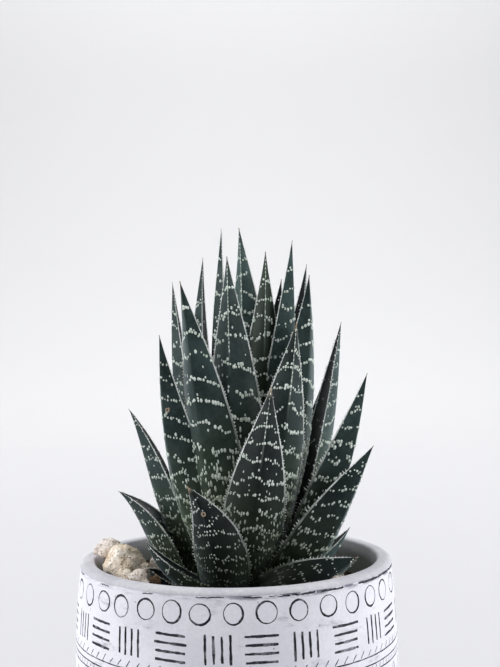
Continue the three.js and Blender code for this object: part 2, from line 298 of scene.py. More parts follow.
class Graph:
    """A node tree under construction. Its helpers take plain values or wires."""

    def __init__(self, tree):
        self.tree = tree

    def node(self, kind, settings=None, inputs=None):
        node = self.tree.nodes.new(kind)
        for name, value in (settings or {}).items():
            setattr(node, name, value)
        for key, value in (inputs or {}).items():
            plug(node.inputs[key], value)
        return node

    def wire(self, kind, settings=None, inputs=None, output=0):
        """Adds a node and returns one of its outputs."""
        return Wire(self, self.node(kind, settings, inputs).outputs[output])

    def maths(self, operation, *values):
        return self.wire("ShaderNodeMath", {"operation": operation}, dict(enumerate(values)))

    def mix(self, share, low, high):
        """Between two colours."""
        return self.wire("ShaderNodeMix", {"data_type": "RGBA"},
                         {0: share, 6: tint(low), 7: tint(high)}, 2)

    def ramp(self, value, low, high, to_low=0.0, to_high=1.0):
        """Value between low and high, spread smoothly over to_low to to_high."""
        return self.wire("ShaderNodeMapRange", {"interpolation_type": "SMOOTHSTEP"},
                         {"Value": value, "From Min": low, "From Max": high,
                          "To Min": to_low, "To Max": to_high}, "Result")

    def noise(self, where, scale, detail=3.0, roughness=0.5):
        return self.wire("ShaderNodeTexNoise", None,
                         {"Vector": where, "Scale": scale, "Detail": detail, "Roughness": roughness},
                         "Fac")

    def part(self, vector, axis):
        """One of the three numbers of a vector: 0 for x, 1 for y, 2 for z."""
        return self.wire("ShaderNodeSeparateXYZ", None, {0: vector}, axis)

    def vector(self, x, y, z=0.0):
        return self.wire("ShaderNodeCombineXYZ", None, {0: x, 1: y, 2: z})

    def scaled(self, vector, factor):
        return self.wire("ShaderNodeVectorMath", {"operation": "SCALE"}, {0: vector, "Scale": factor})


SOCKET_KINDS = {
    "value": "NodeSocketFloat", "count": "NodeSocketInt", "vector": "NodeSocketVector",
    "colour": "NodeSocketColor", "material": "NodeSocketMaterial", "geometry": "NodeSocketGeometry",
}


class Group(Graph):
    """A node group under construction; its sockets are given by kind, with a list of names."""

    def __init__(self, name, family, inputs, outputs):
        super().__init__(bpy.data.node_groups.new(name, family))
        for side, sockets in (("INPUT", inputs), ("OUTPUT", outputs)):
            for kind, labels in sockets:
                for label in labels.split(", "):
                    self.tree.interface.new_socket(label, in_out=side, socket_type=SOCKET_KINDS[kind])
        entry = self.tree.nodes.new("NodeGroupInput")
        self.given = {output.name: Wire(self, output) for output in entry.outputs if output.name}
        self.exit = self.tree.nodes.new("NodeGroupOutput")

    def give(self, label, wire):
        plug(self.exit.inputs[label], wire)


# ---- finishes ---------------------------------------------------------------------------------

def mottle_group():
    """Slow and fine patches between two colours, and their height for a bump."""
    g = Group("mottle", "ShaderNodeTree",
              [("vector", "Where"), ("value", "Slow Scale, Fine Scale, Fine Share"),
               ("colour", "Dark, Light")],
              [("colour", "Colour"), ("value", "Height")])
    slow = g.noise(g.given["Where"], g.given["Slow Scale"], 2.0)
    fine = g.noise(g.given["Where"], g.given["Fine Scale"], 4.0, 0.6)
    mixed = g.wire("ShaderNodeMix", {"data_type": "FLOAT"},
                   {0: g.given["Fine Share"], 2: slow, 3: fine})
    g.give("Colour", g.mix(g.ramp(mixed, 0.35, 0.65), g.given["Dark"], g.given["Light"]))
    g.give("Height", mixed)
    return g.tree


def speck_group():
    """A mask of small scattered specks: 1 inside a speck, 0 between them."""
    g = Group("specks", "ShaderNodeTree", [("vector", "Where"), ("value", "Scale, Size, Share")],
              [("value", "Mask")])
    cells = g.node("ShaderNodeTexVoronoi", None,
                   {"Vector": g.given["Where"], "Scale": g.given["Scale"]})
    near = g.maths("LESS_THAN", Wire(g, cells.outputs["Distance"]), g.given["Size"])
    pick = g.wire("ShaderNodeSeparateColor", None, {0: Wire(g, cells.outputs["Color"])})
    g.give("Mask", near * g.maths("LESS_THAN", pick, g.given["Share"]))
    return g.tree


MOTTLE = mottle_group()
SPECKS = speck_group()


class Finish(Graph):
    """A material under construction. Its patterns read the piece's own coordinates."""

    def __init__(self, name, roughness=0.5, specular=0.5):
        self.material = bpy.data.materials.new(name)
        self.material.use_nodes = True
        super().__init__(self.material.node_tree)
        self.shader = self.tree.nodes["Principled BSDF"]
        self.feed("Roughness", roughness)
        self.feed("Specular IOR Level", specular)
        self.where = self.wire("ShaderNodeTexCoord", output="Object")

    def feed(self, socket, value):
        plug(self.shader.inputs[socket], value)

    def attribute(self, name):
        return self.wire("ShaderNodeAttribute", {"attribute_name": name}, output="Fac")

    def flattened(self, factor):
        """The coordinates of a pattern that lies flat: factor times as wide as high."""
        return self.wire("ShaderNodeMapping", None, {"Vector": self.where, "Scale": (1.0, 1.0, factor)})

    def mottle(self, slow, fine, fine_share, dark, light):
        """The colour and the height of slow and fine patches."""
        node = self.node("ShaderNodeGroup", {"node_tree": MOTTLE},
                         {"Where": self.where, "Slow Scale": slow, "Fine Scale": fine,
                          "Fine Share": fine_share, "Dark": tint(dark), "Light": tint(light)})
        return Wire(self, node.outputs["Colour"]), Wire(self, node.outputs["Height"])

    def specks(self, scale, size, share):
        return self.wire("ShaderNodeGroup", {"node_tree": SPECKS},
                         {"Where": self.where, "Scale": scale, "Size": size, "Share": share})

    def painted_root_shade(self, along):
        """Painted shade on a leaf's lower part, as strong as the leaf's own amount of it."""
        return self.ramp(along, 0.35, 0.9, 1.0, 0.0) * self.attribute("root_shade")

    def scar(self, place, size):
        """A ring-shaped scar round a place in millimetres: 1 on the ring, 0 off it."""
        away = self.wire("ShaderNodeVectorMath", {"operation": "DISTANCE"},
                         {0: self.where, 1: [value * MM for value in place]}, "Value")
        ragged = self.noise(self.where, 1300.0, 2.0) * (size * 1.6 * MM)
        off_ring = abs(away + ragged - size * 1.8 * MM)
        return self.ramp(off_ring, size * 0.2 * MM, size * 0.5 * MM, 0.85, 0.0)

    def bump(self, height, strength, depth):
        self.feed("Normal", self.wire("ShaderNodeBump", None, {
            "Strength": strength, "Distance": depth * MM, "Height": height}))


DRY_TAN = (206, 184, 156)
# Two healed ring-shaped scars: place and radius in millimetres.
SCARS = (((-9.8, -36.7, 120.5), 0.55), ((-22.5, -20.5, 153.4), 0.6))


def leaf_skin(name, shade, gloss, bloom):
    """Waxy dark skin: blue-green on a young leaf, nearly black on an old one, olive towards the
    root, with a dry tan tip. Shade is painted shade here: it darkens the whole skin, as on the
    inner face, and a leaf that sits in shade also gets painted shade on its lower part. Bloom
    is the pale film of wax that shows where the skin is seen along its surface."""
    f = Finish(name, roughness=0.42, specular=gloss)
    f.feed("Sheen Weight", bloom)
    f.feed("Sheen Roughness", 0.33)
    f.feed("Sheen Tint", (0.68, 0.86, 0.9, 1))
    along = f.attribute("along")
    old, relief = f.mottle(90.0, 700.0, 0.35, (13, 19, 18), (26, 35, 34))
    young, _ = f.mottle(90.0, 700.0, 0.35, (49, 65, 63), (76, 94, 92))
    root, _ = f.mottle(120.0, 600.0, 0.4, (43, 53, 37), (72, 84, 60))
    greening = along + f.noise(f.where, 60.0, 2.0) * 0.2
    colour = f.mix(f.ramp(greening, 0.2, 0.8), root, f.mix(f.attribute("young"), old, young))
    colour = f.mix(f.attribute("olive") * 0.8, colour, (46, 56, 38))
    for place, size in SCARS:
        colour = f.mix(f.scar(place, size), colour, (190, 172, 148))
    # painted shade on the lower part of a leaf that sits in shade
    colour = f.mix(f.painted_root_shade(along), colour, (5, 8, 8))
    # painted shade: the shade value darkens the whole skin nearly to black, as on the inner face
    colour = f.mix(shade, colour, (4, 9, 10))
    colour = f.mix(f.attribute("ridge") * 0.75, colour, (176, 190, 180))
    colour = f.mix(f.ramp(along, 0.94, 0.99), colour, (36, 42, 42))
    f.feed("Base Color", f.mix(f.attribute("dry"), colour, DRY_TAN))
    f.feed("Roughness", f.ramp(relief, 0.3, 0.7, 0.5, 0.36))
    f.bump(relief, 0.25, 0.15)
    return f.material


def leaf_margin():
    """The pale horny edge of a leaf, green towards the root and grey at the tip."""
    f = Finish("aloe_margin")
    along = f.attribute("along")
    pale, _ = f.mottle(500.0, 1500.0, 0.4, (204, 213, 208), (246, 250, 247))
    fading = along + f.noise(f.where, 250.0, 2.0) * 0.5
    colour = f.mix(f.ramp(fading, 0.5, 1.15), (66, 80, 64), pale)
    colour = f.mix(f.ramp(along, 0.93, 0.98), colour, (60, 62, 60))
    f.feed("Base Color", f.mix(f.attribute("dry"), colour, DRY_TAN))
    return f.material


def pearl():
    """The white tubercles: chalky at the top of a leaf, muted green towards the root, and darkened by
    painted shade low down on a leaf that sits in shade.
    """
    f = Finish("aloe_pearl", roughness=0.6)
    along = f.attribute("along")
    chalk, _ = f.mottle(300.0, 1500.0, 0.4, (186, 200, 187), (230, 239, 231))
    colour = f.mix(f.ramp(along, 0.1, 0.6), (122, 137, 104), chalk)
    # painted shade low on a shaded leaf, as on its skin
    f.feed("Base Color", f.mix(f.painted_root_shade(along), colour, (56, 60, 58)))
    return f.material


def tooth():
    """The soft white teeth along the margins."""
    f = Finish("aloe_tooth")
    f.feed("Base Color", f.mix(f.ramp(f.attribute("along"), 0.05, 0.5), (140, 150, 122),
                               (243, 246, 242)))
    return f.material


def clay_wall():
    """Matt white slip over the pot's outside, with faint grey smears and specks, and scuffed
    under the lip, more so on the right."""
    f = Finish("clay_slip", roughness=0.78, specular=0.3)
    slip, relief = f.mottle(35.0, 900.0, 0.35, (222, 222, 230), (238, 238, 245))
    smear = f.ramp(f.noise(f.flattened(3.2), 70.0, 5.0, 0.65), 0.57, 0.74)
    colour = f.mix(smear * 0.65, slip, (146, 149, 157))
    colour = f.mix(f.specks(420.0, 0.16, 0.1) * 0.5, colour, (120, 122, 130))
    under_lip = f.ramp(f.part(f.where, 2), 96.6 * MM, 97.8 * MM)
    rightwards = f.ramp(f.part(f.where, 0), -8 * MM, 6 * MM, 0.35, 0.9)
    scuff = f.ramp(f.noise(f.flattened(5.0), 130.0, 4.0, 0.65), 0.42, 0.58)
    f.feed("Base Color", f.mix(under_lip * rightwards * scuff, colour, (104, 107, 120)))
    f.bump(relief, 0.35, 0.12)
    return f.material


def clay_stain():
    """Dark stain rubbed into the stamped marks, worn through here and there."""
    f = Finish("mark_stain", roughness=0.7)
    worn = f.ramp(f.noise(f.where, 260.0, 4.0, 0.6), 0.5, 0.7)
    stain, _ = f.mottle(300.0, 1400.0, 0.5, (22, 23, 32), (54, 55, 68))
    f.feed("Base Color", f.mix(worn * 0.7, stain, (186, 186, 196)))
    return f.material


def clay_rim():
    """The bare grey lip of the pot and its inner wall, darker towards the soil: partly dampness from the
    soil and partly painted shade down into the pot.
    """
    f = Finish("clay_rim", roughness=0.72, specular=0.3)
    clay, relief = f.mottle(60.0, 800.0, 0.4, (186, 186, 193), (209, 208, 213))
    level = f.part(f.where, 2) + f.noise(f.where, 90.0, 3.0) * (4 * MM)
    # painted shade with dampness: the inner wall darkens downwards towards the soil
    damp_and_shade = f.ramp(level, 93.0 * MM, 101.8 * MM, 1.0, 0.0)
    f.feed("Base Color", f.mix(damp_and_shade * 0.94, clay, (170, 177, 170)))
    f.bump(relief, 0.3, 0.15)
    return f.material


def compost():
    f = Finish("compost", roughness=0.95, specular=0.2)
    earth, relief = f.mottle(160.0, 1200.0, 0.55, (22, 20, 18), (60, 55, 48))
    # painted shade: the soil turns nearly black where it lies low, as in the hollow by the wall
    hollow_shade = f.ramp(f.part(f.where, 2), 88.5 * MM, 91.2 * MM, 0.8, 0.0)
    f.feed("Base Color", f.mix(hollow_shade, earth, (26, 26, 20)))
    f.bump(relief, 0.8, 0.6)
    return f.material


def crumb():
    """Bits of bark and coir in the compost."""
    f = Finish("compost_crumb", roughness=0.9, specular=0.2)
    f.feed("Base Color", f.mottle(420.0, 1800.0, 0.4, (30, 27, 24), (92, 80, 64))[0])
    return f.material


STONE_COLOURS = {
    "cream": ((226, 208, 182), (253, 246, 235)),
    "blush": ((224, 211, 198), (250, 245, 239)),
    "bark": ((72, 54, 40), (152, 124, 98)),
}


def stone_finish(name):
    """Porous stone: warm mottling, tan pores, fine brown dust, dark grit and a rough skin."""
    f = Finish("stone_" + name, roughness=0.88, specular=0.25)
    colour, relief = f.mottle(230.0, 1300.0, 0.45, *STONE_COLOURS[name])
    pores = f.specks(900.0, 0.34, 0.4)
    colour = f.mix(pores * 0.4, colour, (198, 170, 128))
    colour = f.mix(f.specks(1500.0, 0.32, 0.3) * 0.5, colour, (150, 120, 88))
    f.feed("Base Color", f.mix(f.specks(760.0, 0.22, 0.62) * 0.8, colour, (72, 58, 44)))
    f.bump(relief - pores * 0.5, 0.7, 0.35)
    return f.material


def stem_bark():
    f = Finish("stem_bark", roughness=0.8)
    colour, relief = f.mottle(150.0, 900.0, 0.5, (86, 82, 58), (150, 146, 112))
    f.feed("Base Color", colour)
    f.bump(relief, 0.5, 0.3)
    return f.material


def backdrop_paper():
    """Matt paper with painted light: whiter where it sweeps up than on the floor."""
    f = Finish("backdrop_paper", roughness=1.0, specular=0.0)
    # painted light: the paper's tone rises from the floor to the sweep
    share = f.wire("ShaderNodeMapRange", None,
                   {"Value": f.part(f.where, 1), "From Min": 0.0, "From Max": 2.0})
    f.feed("Base Color", f.mix(share, (199, 199, 202), (229, 229, 231)))
    return f.material


SKIN = leaf_skin("aloe_skin", 0.0, gloss=0.1, bloom=0.55)
# The inner face's skin carries painted shade that turns it nearly black.
INNER_SKIN = leaf_skin("aloe_inner_skin", 0.94, gloss=0.06, bloom=0.05)
MARGIN = leaf_margin()
PEARL = pearl()
TOOTH = tooth()


# ---- leaves: the blade ------------------------------------------------------------------------

BLADE_RINGS = 60
RING_CROWDING = 1.12    # above 1, the rings stand closer towards the tip
RIPPLE = 0.025          # how much the width wavers, as a share of it
TAPER_POWER = 1.1
ROUND_POWER = 2.7       # of the curve of a round back, and of one folded along the keel
FOLD_POWER = 1.2
FOLD_AT_ROOT = 0.15     # how folded the back is at the root, how much that grows, and where
FOLD_GAIN = 0.75
FOLDING_SPAN = (0.25, 0.75)
TIP_HALF_WIDTH = 0.16
BACK_SHARES = (0, 0.08, 0.2, 0.36, 0.5, 0.64, 0.77, 0.88, 0.96)
FACE_SHARES = (0, 0.35, 0.68, 0.9)
BEAD_R = 0.11           # the horny edge, and how it rises at the root and thins at the tip
BEAD_RISE = (0.0, 0.08)
BEAD_THINNING = (0.7, 0.98)
BEAD_TIP_LOSS = 0.75
BEAD_LEAST = 0.1
BEAD_ANGLES = (115, 45, -45, -115)
BACKS = 2 * len(BACK_SHARES) - 1        # how many points each part of a ring has
BEADS = len(BEAD_ANGLES)
FACES = 2 * len(FACE_SHARES) - 1
RIDGE_SPAN = (0.6, 0.85)    # the keel pales along this share of the length
ISLAND = 100.0      # how far apart the leaf map lays the back, the face and the edges
STRIP_PLACES = {"back": 0.0, "face": ISLAND, "right": 2 * ISLAND, "left": 3 * ISLAND}
MAP_SPAN = 400.0    # millimetres of skin to one unit of the leaf map
STRIP_SLOTS = {"back": 0, "face": 2, "right": 1, "left": 1}
DRY_SHARE = 0.85    # how much of the skin's colour a dry tip loses
DRY_BLEND = 0.03    # share of the length to either side of dry_from over which it turns dry


def taper(t):
    """Share of the full width at a share of the length: a clasping base, then a long even taper."""
    if t < WIDEST_AT:
        return 1 - ROOT_NARROWING * ((WIDEST_AT - t) / WIDEST_AT) ** 2
    return math.sin(math.pi / 2 * (1 - t) / (1 - WIDEST_AT)) ** TAPER_POWER


def about_stem(azimuth, radius, height):
    return direction(azimuth) * radius + Vector((PLANT_X, 0, SOIL_Z + height))


class Spine:
    """A leaf's middle line, with the way that its back faces at each share of its length."""

    def __init__(self, row):
        _, root_az, root_r, root_h, tip_az, tip_r, tip_h, bow, sway, self.width, self.roll = row
        self.root = about_stem(root_az, root_r, root_h)
        self.tip = about_stem(tip_az, tip_r, tip_h)
        self.outward = direction((root_az + tip_az) / 2)
        chord = (self.tip - self.root).normalized()
        bulge = (self.outward - chord * self.outward.dot(chord)).normalized()
        self.middle = self.root.lerp(self.tip, 0.5) + bulge * bow + UP.cross(self.outward) * sway

    def point(self, t):
        a, b, c = self.root, self.middle, self.tip
        return a * (1 - t) ** 2 + b * (2 * t * (1 - t)) + c * t ** 2

    def frame_at(self, t):
        """Along, across and back at t."""
        along = ((self.middle - self.root) * (1 - t) + (self.tip - self.middle) * t).normalized()
        back = (self.outward - along * self.outward.dot(along)).normalized()
        back = Matrix.Rotation(math.radians(self.roll), 3, along) @ back
        return along, along.cross(back), back


def back_height(share, keeled):
    """Height of the back over the margins, in keel heights: round, or folded along the keel."""
    rounded = 1 - abs(share) ** ROUND_POWER
    folded = 1 - abs(share) ** FOLD_POWER
    return rounded + (folded - rounded) * keeled


def blade_section(half, keel, keeled, bead):
    """One ring of the blade as (part, across, out) in millimetres: the back from margin to margin,
    the bead on one margin, the inner face, and the bead on the other."""
    ring = []
    for share in [-s for s in reversed(BACK_SHARES[1:])] + list(BACK_SHARES):
        ring.append(("back", share * half, back_height(share, keeled) * keel))
    for angle in BEAD_ANGLES:
        turn = math.radians(angle)
        ring.append(("bead", half + bead * math.cos(turn), bead * math.sin(turn)))
    for share in list(reversed(FACE_SHARES)) + [-s for s in FACE_SHARES[1:]]:
        ring.append(("face", share * half, FACE_HOLLOW * keel * (1 - share ** 2)))
    for angle in reversed(BEAD_ANGLES):
        turn = math.radians(angle)
        ring.append(("bead", -half - bead * math.cos(turn), bead * math.sin(turn)))
    return ring


def strip_places(ring):
    """How far along the skin each point of a ring lies, and the middle of each strip there."""
    count = len(ring)
    steps = [0.0]
    for i in range(1, count + 1):
        (_, x0, y0), (_, x1, y1) = ring[i - 1], ring[i % count]
        steps.append(steps[-1] + math.hypot(x1 - x0, y1 - y0))
    return steps, {
        "back": steps[BACKS // 2],
        "right": (steps[BACKS] + steps[BACKS + BEADS - 1]) / 2,
        "face": steps[BACKS + BEADS + FACES // 2],
        "left": (steps[BACKS + BEADS + FACES] + steps[-2]) / 2,
    }


def strip_after(index):
    """Which strip of the leaf map the quad after ring point index belongs to."""
    if index < BACKS - 1:
        return "back"
    if index < BACKS + BEADS:
        return "right"
    if index < BACKS + BEADS + FACES - 1:
        return "face"
    return "left"


def build_blade(row, look, seed):
    """The bare leaf in millimetres, with its map ("skin": across and along) and the attributes along
    (0 at the root, 1 at the tip), ridge, dry and grain (towards the tip). Returns the mesh and its
    length."""
    spine = Spine(row)
    points, along_values, ridge_values, grains, rings = [], [], [], [], []
    lengths = [0.0]
    previous = None
    for k in range(BLADE_RINGS):
        t = 1 - (1 - k / (BLADE_RINGS - 1)) ** RING_CROWDING
        along, across, back = spine.frame_at(t)
        centre = spine.point(t)
        if previous is not None:
            lengths.append(lengths[-1] + (centre - previous).length)
        previous = centre
        ripple = noise.noise(Vector((t * 9, seed * 3.7, 0)))
        half = max(spine.width / 2 * taper(t) * (1 + RIPPLE * ripple), TIP_HALF_WIDTH)
        keel = max((KEEL_AT_ROOT + KEEL_GAIN * t) * spine.width * taper(t), TIP_HALF_WIDTH)
        keeled = FOLD_AT_ROOT + FOLD_GAIN * smooth_step(*FOLDING_SPAN, t)
        fade = smooth_step(*BEAD_RISE, t) * (1 - BEAD_TIP_LOSS * smooth_step(*BEAD_THINNING, t))
        ring = blade_section(half, keel, keeled, BEAD_R * max(fade, BEAD_LEAST))
        rings.append(ring)
        for part, x, y in ring:
            points.append(centre + across * x + back * y)
            along_values.append(t)
            on_keel = part == "back" and x == 0
            ridge_values.append(smooth_step(*RIDGE_SPAN, t) * look["keel_line"] if on_keel else 0.0)
            grains.extend(along)
    sides = len(rings[0])
    slots, corners = [], []
    maps = [strip_places(ring) for ring in rings]
    for r in range(BLADE_RINGS - 1):
        for s in range(sides):
            strip = strip_after(s)
            slots.append(STRIP_SLOTS[strip])
            for ring_at, step in ((r, s), (r, s + 1), (r + 1, s + 1), (r + 1, s)):
                steps, middles = maps[ring_at]
                sideways = STRIP_PLACES[strip] + steps[step] - middles[strip]
                corners += [sideways / MAP_SPAN, lengths[ring_at] / MAP_SPAN]
    slots += [0, 0]
    corners += [-ISLAND / MAP_SPAN, 0.0] * (2 * sides)
    faces = ring_quads(BLADE_RINGS, sides) + end_caps(BLADE_RINGS, sides)
    mesh = mesh_of("blade_" + row[0], points, faces, [SKIN, MARGIN, INNER_SKIN], slots)
    mesh.uv_layers.new(name="skin").data.foreach_set("uv", corners)
    set_point_values(mesh, "along", along_values)
    set_point_values(mesh, "ridge", ridge_values)
    dry_low, dry_high = look["dry_from"] - DRY_BLEND, look["dry_from"] + DRY_BLEND
    set_point_values(mesh, "dry", [DRY_SHARE * smooth_step(dry_low, dry_high, t)
                                   for t in along_values])
    mesh.attributes.new("grain", "FLOAT_VECTOR", "POINT").data.foreach_set("vector", grains)
    return mesh, lengths[-1]


# ---- leaves: tubercles and teeth, grown by geometry nodes --------------------------------------

PATCHINESS = 1.45       # how much thinner the tubercles stand in some patches than in others
PATCH_SCALE = 0.35
WAVE_SCALE = 0.16       # steps through the noise that bends the rows: per mm, row and seed
WAVE_ROW_STEP = 4.3
WAVE_SEED_STEP = 0.37


class GeometryGroup(Group):
    """A geometry group under construction, with one geometry output."""

    def __init__(self, name, inputs):
        super().__init__(name, "GeometryNodeTree", inputs, [("geometry", "Geometry")])

    def named(self, name, kind="FLOAT_VECTOR"):
        return self.wire("GeometryNodeInputNamedAttribute", {"data_type": kind}, {"Name": name},
                         "Attribute")

    def random(self, low, high, seed, identity=None):
        """A random number for each point, or one for each value of identity."""
        inputs = {2: low, 3: high, "Seed": seed}
        if identity is not None:
            inputs["ID"] = identity
        return self.wire("FunctionNodeRandomValue", {"data_type": "FLOAT"}, inputs, 1)

    def solid_copies(self, points, shape, turn, size, material):
        """A copy of shape at each point, made real and given its material."""
        copies = self.wire("GeometryNodeInstanceOnPoints", None,
                           {"Points": points, "Instance": shape, "Rotation": turn, "Scale": size})
        solid = self.wire("GeometryNodeRealizeInstances", None, {"Geometry": copies})
        return self.wire("GeometryNodeSetMaterial", None, {"Geometry": solid, "Material": material})

    def give_joined(self, parts):
        joined = self.node("GeometryNodeJoinGeometry")
        for part in reversed(parts):
            plug(joined.inputs[0], part)
        self.give("Geometry", Wire(self, joined.outputs[0]))


def growth_group():
    """Sets copies of Shape in rows on a strip of the leaf map. Rows run across the leaf, bend in
    waves and droop from the keel to the margins; Squeeze brings them closer towards the tip; Streak
    stretches the lower ones along the leaf."""
    g = GeometryGroup("growth_rows", [
        ("geometry", "Leaf, Shape"), ("material", "Material"),
        ("count", "Rows, Columns, Seed, Wave Seed"),
        ("value", "Length, Strip, Spacing, Slip, First, Last, Squeeze, Shift, Droop, Wave, Jitter"),
        ("value", "Gaps, More Gaps, Dot Size, Width, Height, Thickness, Streak, Thinning, Lean"),
    ])
    given = g.given

    def chance(low, high, step, identity=None):
        return g.random(low, high, given["Seed"] + step, identity)

    points = g.wire("GeometryNodePoints", None, {"Count": given["Rows"] * given["Columns"]})
    index = g.wire("GeometryNodeInputIndex")
    column = g.maths("MODULO", index, given["Columns"])
    row = g.maths("FLOOR", (index + 0.5) / given["Columns"])
    share = row / g.maths("MAXIMUM", given["Rows"] - 1.0, 1.0)
    bend = share * (1.0 - share) * given["Squeeze"]
    along = g.maths("MULTIPLY_ADD", share + bend, given["Last"] - given["First"], given["First"])
    middle = (given["Columns"] - 1.0) * 0.5
    slip = chance(-0.5, 0.5, 6, row) * given["Spacing"] * given["Slip"]
    across = (column - middle) * given["Spacing"] + chance(-0.8, 0.8, 1) * given["Jitter"] + slip
    wave_at = g.vector(across * WAVE_SCALE, row * WAVE_ROW_STEP, given["Wave Seed"] * WAVE_SEED_STEP)
    wave = g.noise(wave_at, 1.0, 1.0) - 0.5
    shift = g.maths("MULTIPLY_ADD", wave, given["Wave"], given["Shift"] - abs(across) * given["Droop"])
    place = g.maths("MULTIPLY_ADD", along, given["Length"],
                    shift + chance(-1.0, 1.0, 2) * given["Jitter"])
    map_place = g.vector(across + given["Strip"], place)
    on_map = g.scaled(map_place, 1 / MAP_SPAN)

    def sampled(value):
        node = g.node("GeometryNodeSampleUVSurface", {"data_type": "FLOAT_VECTOR"},
                      {"Mesh": given["Leaf"], "Value": value, "Source UV Map": g.named("skin"),
                       "Sample UV": on_map})
        return Wire(g, node.outputs["Value"]), Wire(g, node.outputs["Is Valid"])

    position, valid = sampled(g.wire("GeometryNodeInputPosition"))
    normal, _ = sampled(g.wire("GeometryNodeInputNormal"))
    grain, _ = sampled(g.named("grain"))
    tagged = g.wire("GeometryNodeSetPosition", None, {"Geometry": points, "Position": position})
    for name, kind, value in (("along", "FLOAT", place / given["Length"]),
                              ("facing", "FLOAT_VECTOR", normal), ("grain", "FLOAT_VECTOR", grain),
                              ("on_leaf", "BOOLEAN", valid)):
        tagged = g.wire("GeometryNodeStoreNamedAttribute", {"data_type": kind, "domain": "POINT"},
                        {"Geometry": tagged, "Name": name, "Value": value})
    patchy = (g.noise(g.scaled(map_place, PATCH_SCALE), 1.0, 0.0) - 0.5) * PATCHINESS
    missing = g.maths("GREATER_THAN", given["Gaps"] + given["More Gaps"] + patchy, chance(0.0, 1.0, 3))
    off_leaf = g.wire("FunctionNodeBooleanMath", {"operation": "NOT"}, {0: g.named("on_leaf", "BOOLEAN")})
    dropped = g.wire("FunctionNodeBooleanMath", {"operation": "OR"}, {0: off_leaf, 1: missing})
    kept = g.wire("GeometryNodeDeleteGeometry", {"domain": "POINT"},
                  {"Geometry": tagged, "Selection": dropped})

    far = g.named("along", "FLOAT")
    lengthwise = g.named("grain")
    leaned = g.wire("ShaderNodeVectorMath", {"operation": "ADD"},
                    {0: g.named("facing"), 1: g.scaled(lengthwise, given["Lean"])})
    upright = g.wire("FunctionNodeAlignRotationToVector", {"axis": "Z"}, {"Vector": leaned})
    turn = g.wire("FunctionNodeAlignRotationToVector", {"axis": "Y", "pivot_axis": "Z"},
                  {"Rotation": upright, "Vector": lengthwise})
    size = chance(0.62, 1.2, 4) * (1.0 - far * given["Thinning"]) * given["Dot Size"]
    stretch = g.maths("MULTIPLY_ADD", 1.0 - far, given["Streak"], chance(0.8, 1.35, 5))
    scale = g.vector(given["Width"] * size, given["Height"] * size * stretch,
                     given["Thickness"] * size)
    g.give("Geometry", g.solid_copies(kept, given["Shape"], turn, scale, given["Material"]))
    return g.tree


# Each growth of a leaf: strip of the map, the rule for its rows and columns, and its sizes in mm.
IN_BANDS = dict(Strip=0.0, First=0.3, Squeeze=0.16, Droop=0.42, Wave=7.0, Slip=1.0)
IN_LINE = dict(Squeeze=0.0, Shift=0.0, Droop=0.0, Wave=0.0, Slip=0.0)
GROWTHS = {
    "bands": dict(IN_BANDS, Last=0.9, Shift=0.0, Jitter=0.28, Gaps=0.12, Width=0.62, Height=0.62,
                  Thickness=0.36, Streak=0.95, Thinning=0.26),
    "doubles": dict(IN_BANDS, Last=0.9, Shift=1.0, Jitter=0.4, Gaps=0.74, Width=0.6, Height=0.6,
                    Thickness=0.33, Streak=0.95, Thinning=0.26),
    "strays": dict(IN_BANDS, Last=0.86, Shift=-1.6, Jitter=1.0, Gaps=0.95, Width=0.46, Height=0.62,
                   Thickness=0.3, Streak=0.8, Thinning=0.4),
    "keel": dict(IN_LINE, Strip=0.0, Last=0.97, Jitter=0.08, Gaps=0.04, Width=0.24, Height=0.82,
                 Thickness=0.2, Streak=0.3, Thinning=0.3),
    "face": dict(Strip=ISLAND, First=0.2, Last=0.9, Squeeze=0.15, Shift=2.0, Droop=0.3, Wave=6.0,
                 Jitter=0.5, Gaps=0.66, Width=0.44, Height=0.52, Thickness=0.3, Streak=0.6,
                 Thinning=0.3, Slip=1.0),
    "streaks": dict(Strip=0.0, First=0.02, Last=0.46, Squeeze=0.0, Shift=0.0, Droop=0.2, Wave=4.0,
                    Jitter=1.0, Gaps=0.56, Width=0.4, Height=0.64, Thickness=0.24, Streak=1.0,
                    Thinning=0.0, Slip=1.0),
    "teeth": dict(IN_LINE, First=0.06, Last=0.955, Jitter=0.14, Gaps=0.05, Width=0.25, Height=0.33,
                  Streak=0.0, Thinning=0.45, Lean=0.4),
}
BAND_SHARE = 0.6        # share of the length that the bands cover
GIRTH_SHARE = 1.35      # how far the columns of tubercles reach round a leaf, in leaf widths
DOT_SPACING = 0.98
FACE_SPACING = DOT_SPACING * 1.2
STREAK_SPACING = 1.4
STREAK_PITCH = 2.1
STREAK_SHARE = 0.48     # share of the length that the streaks cover
KEEL_DOT_PITCH = 1.27
KEEL_ROW_LAST = 0.965   # the keel's row is measured down from here, and never starts below KEEL_ROW_LOW
KEEL_ROW_LOW = 0.6
TOOTH_PITCH = 1.2


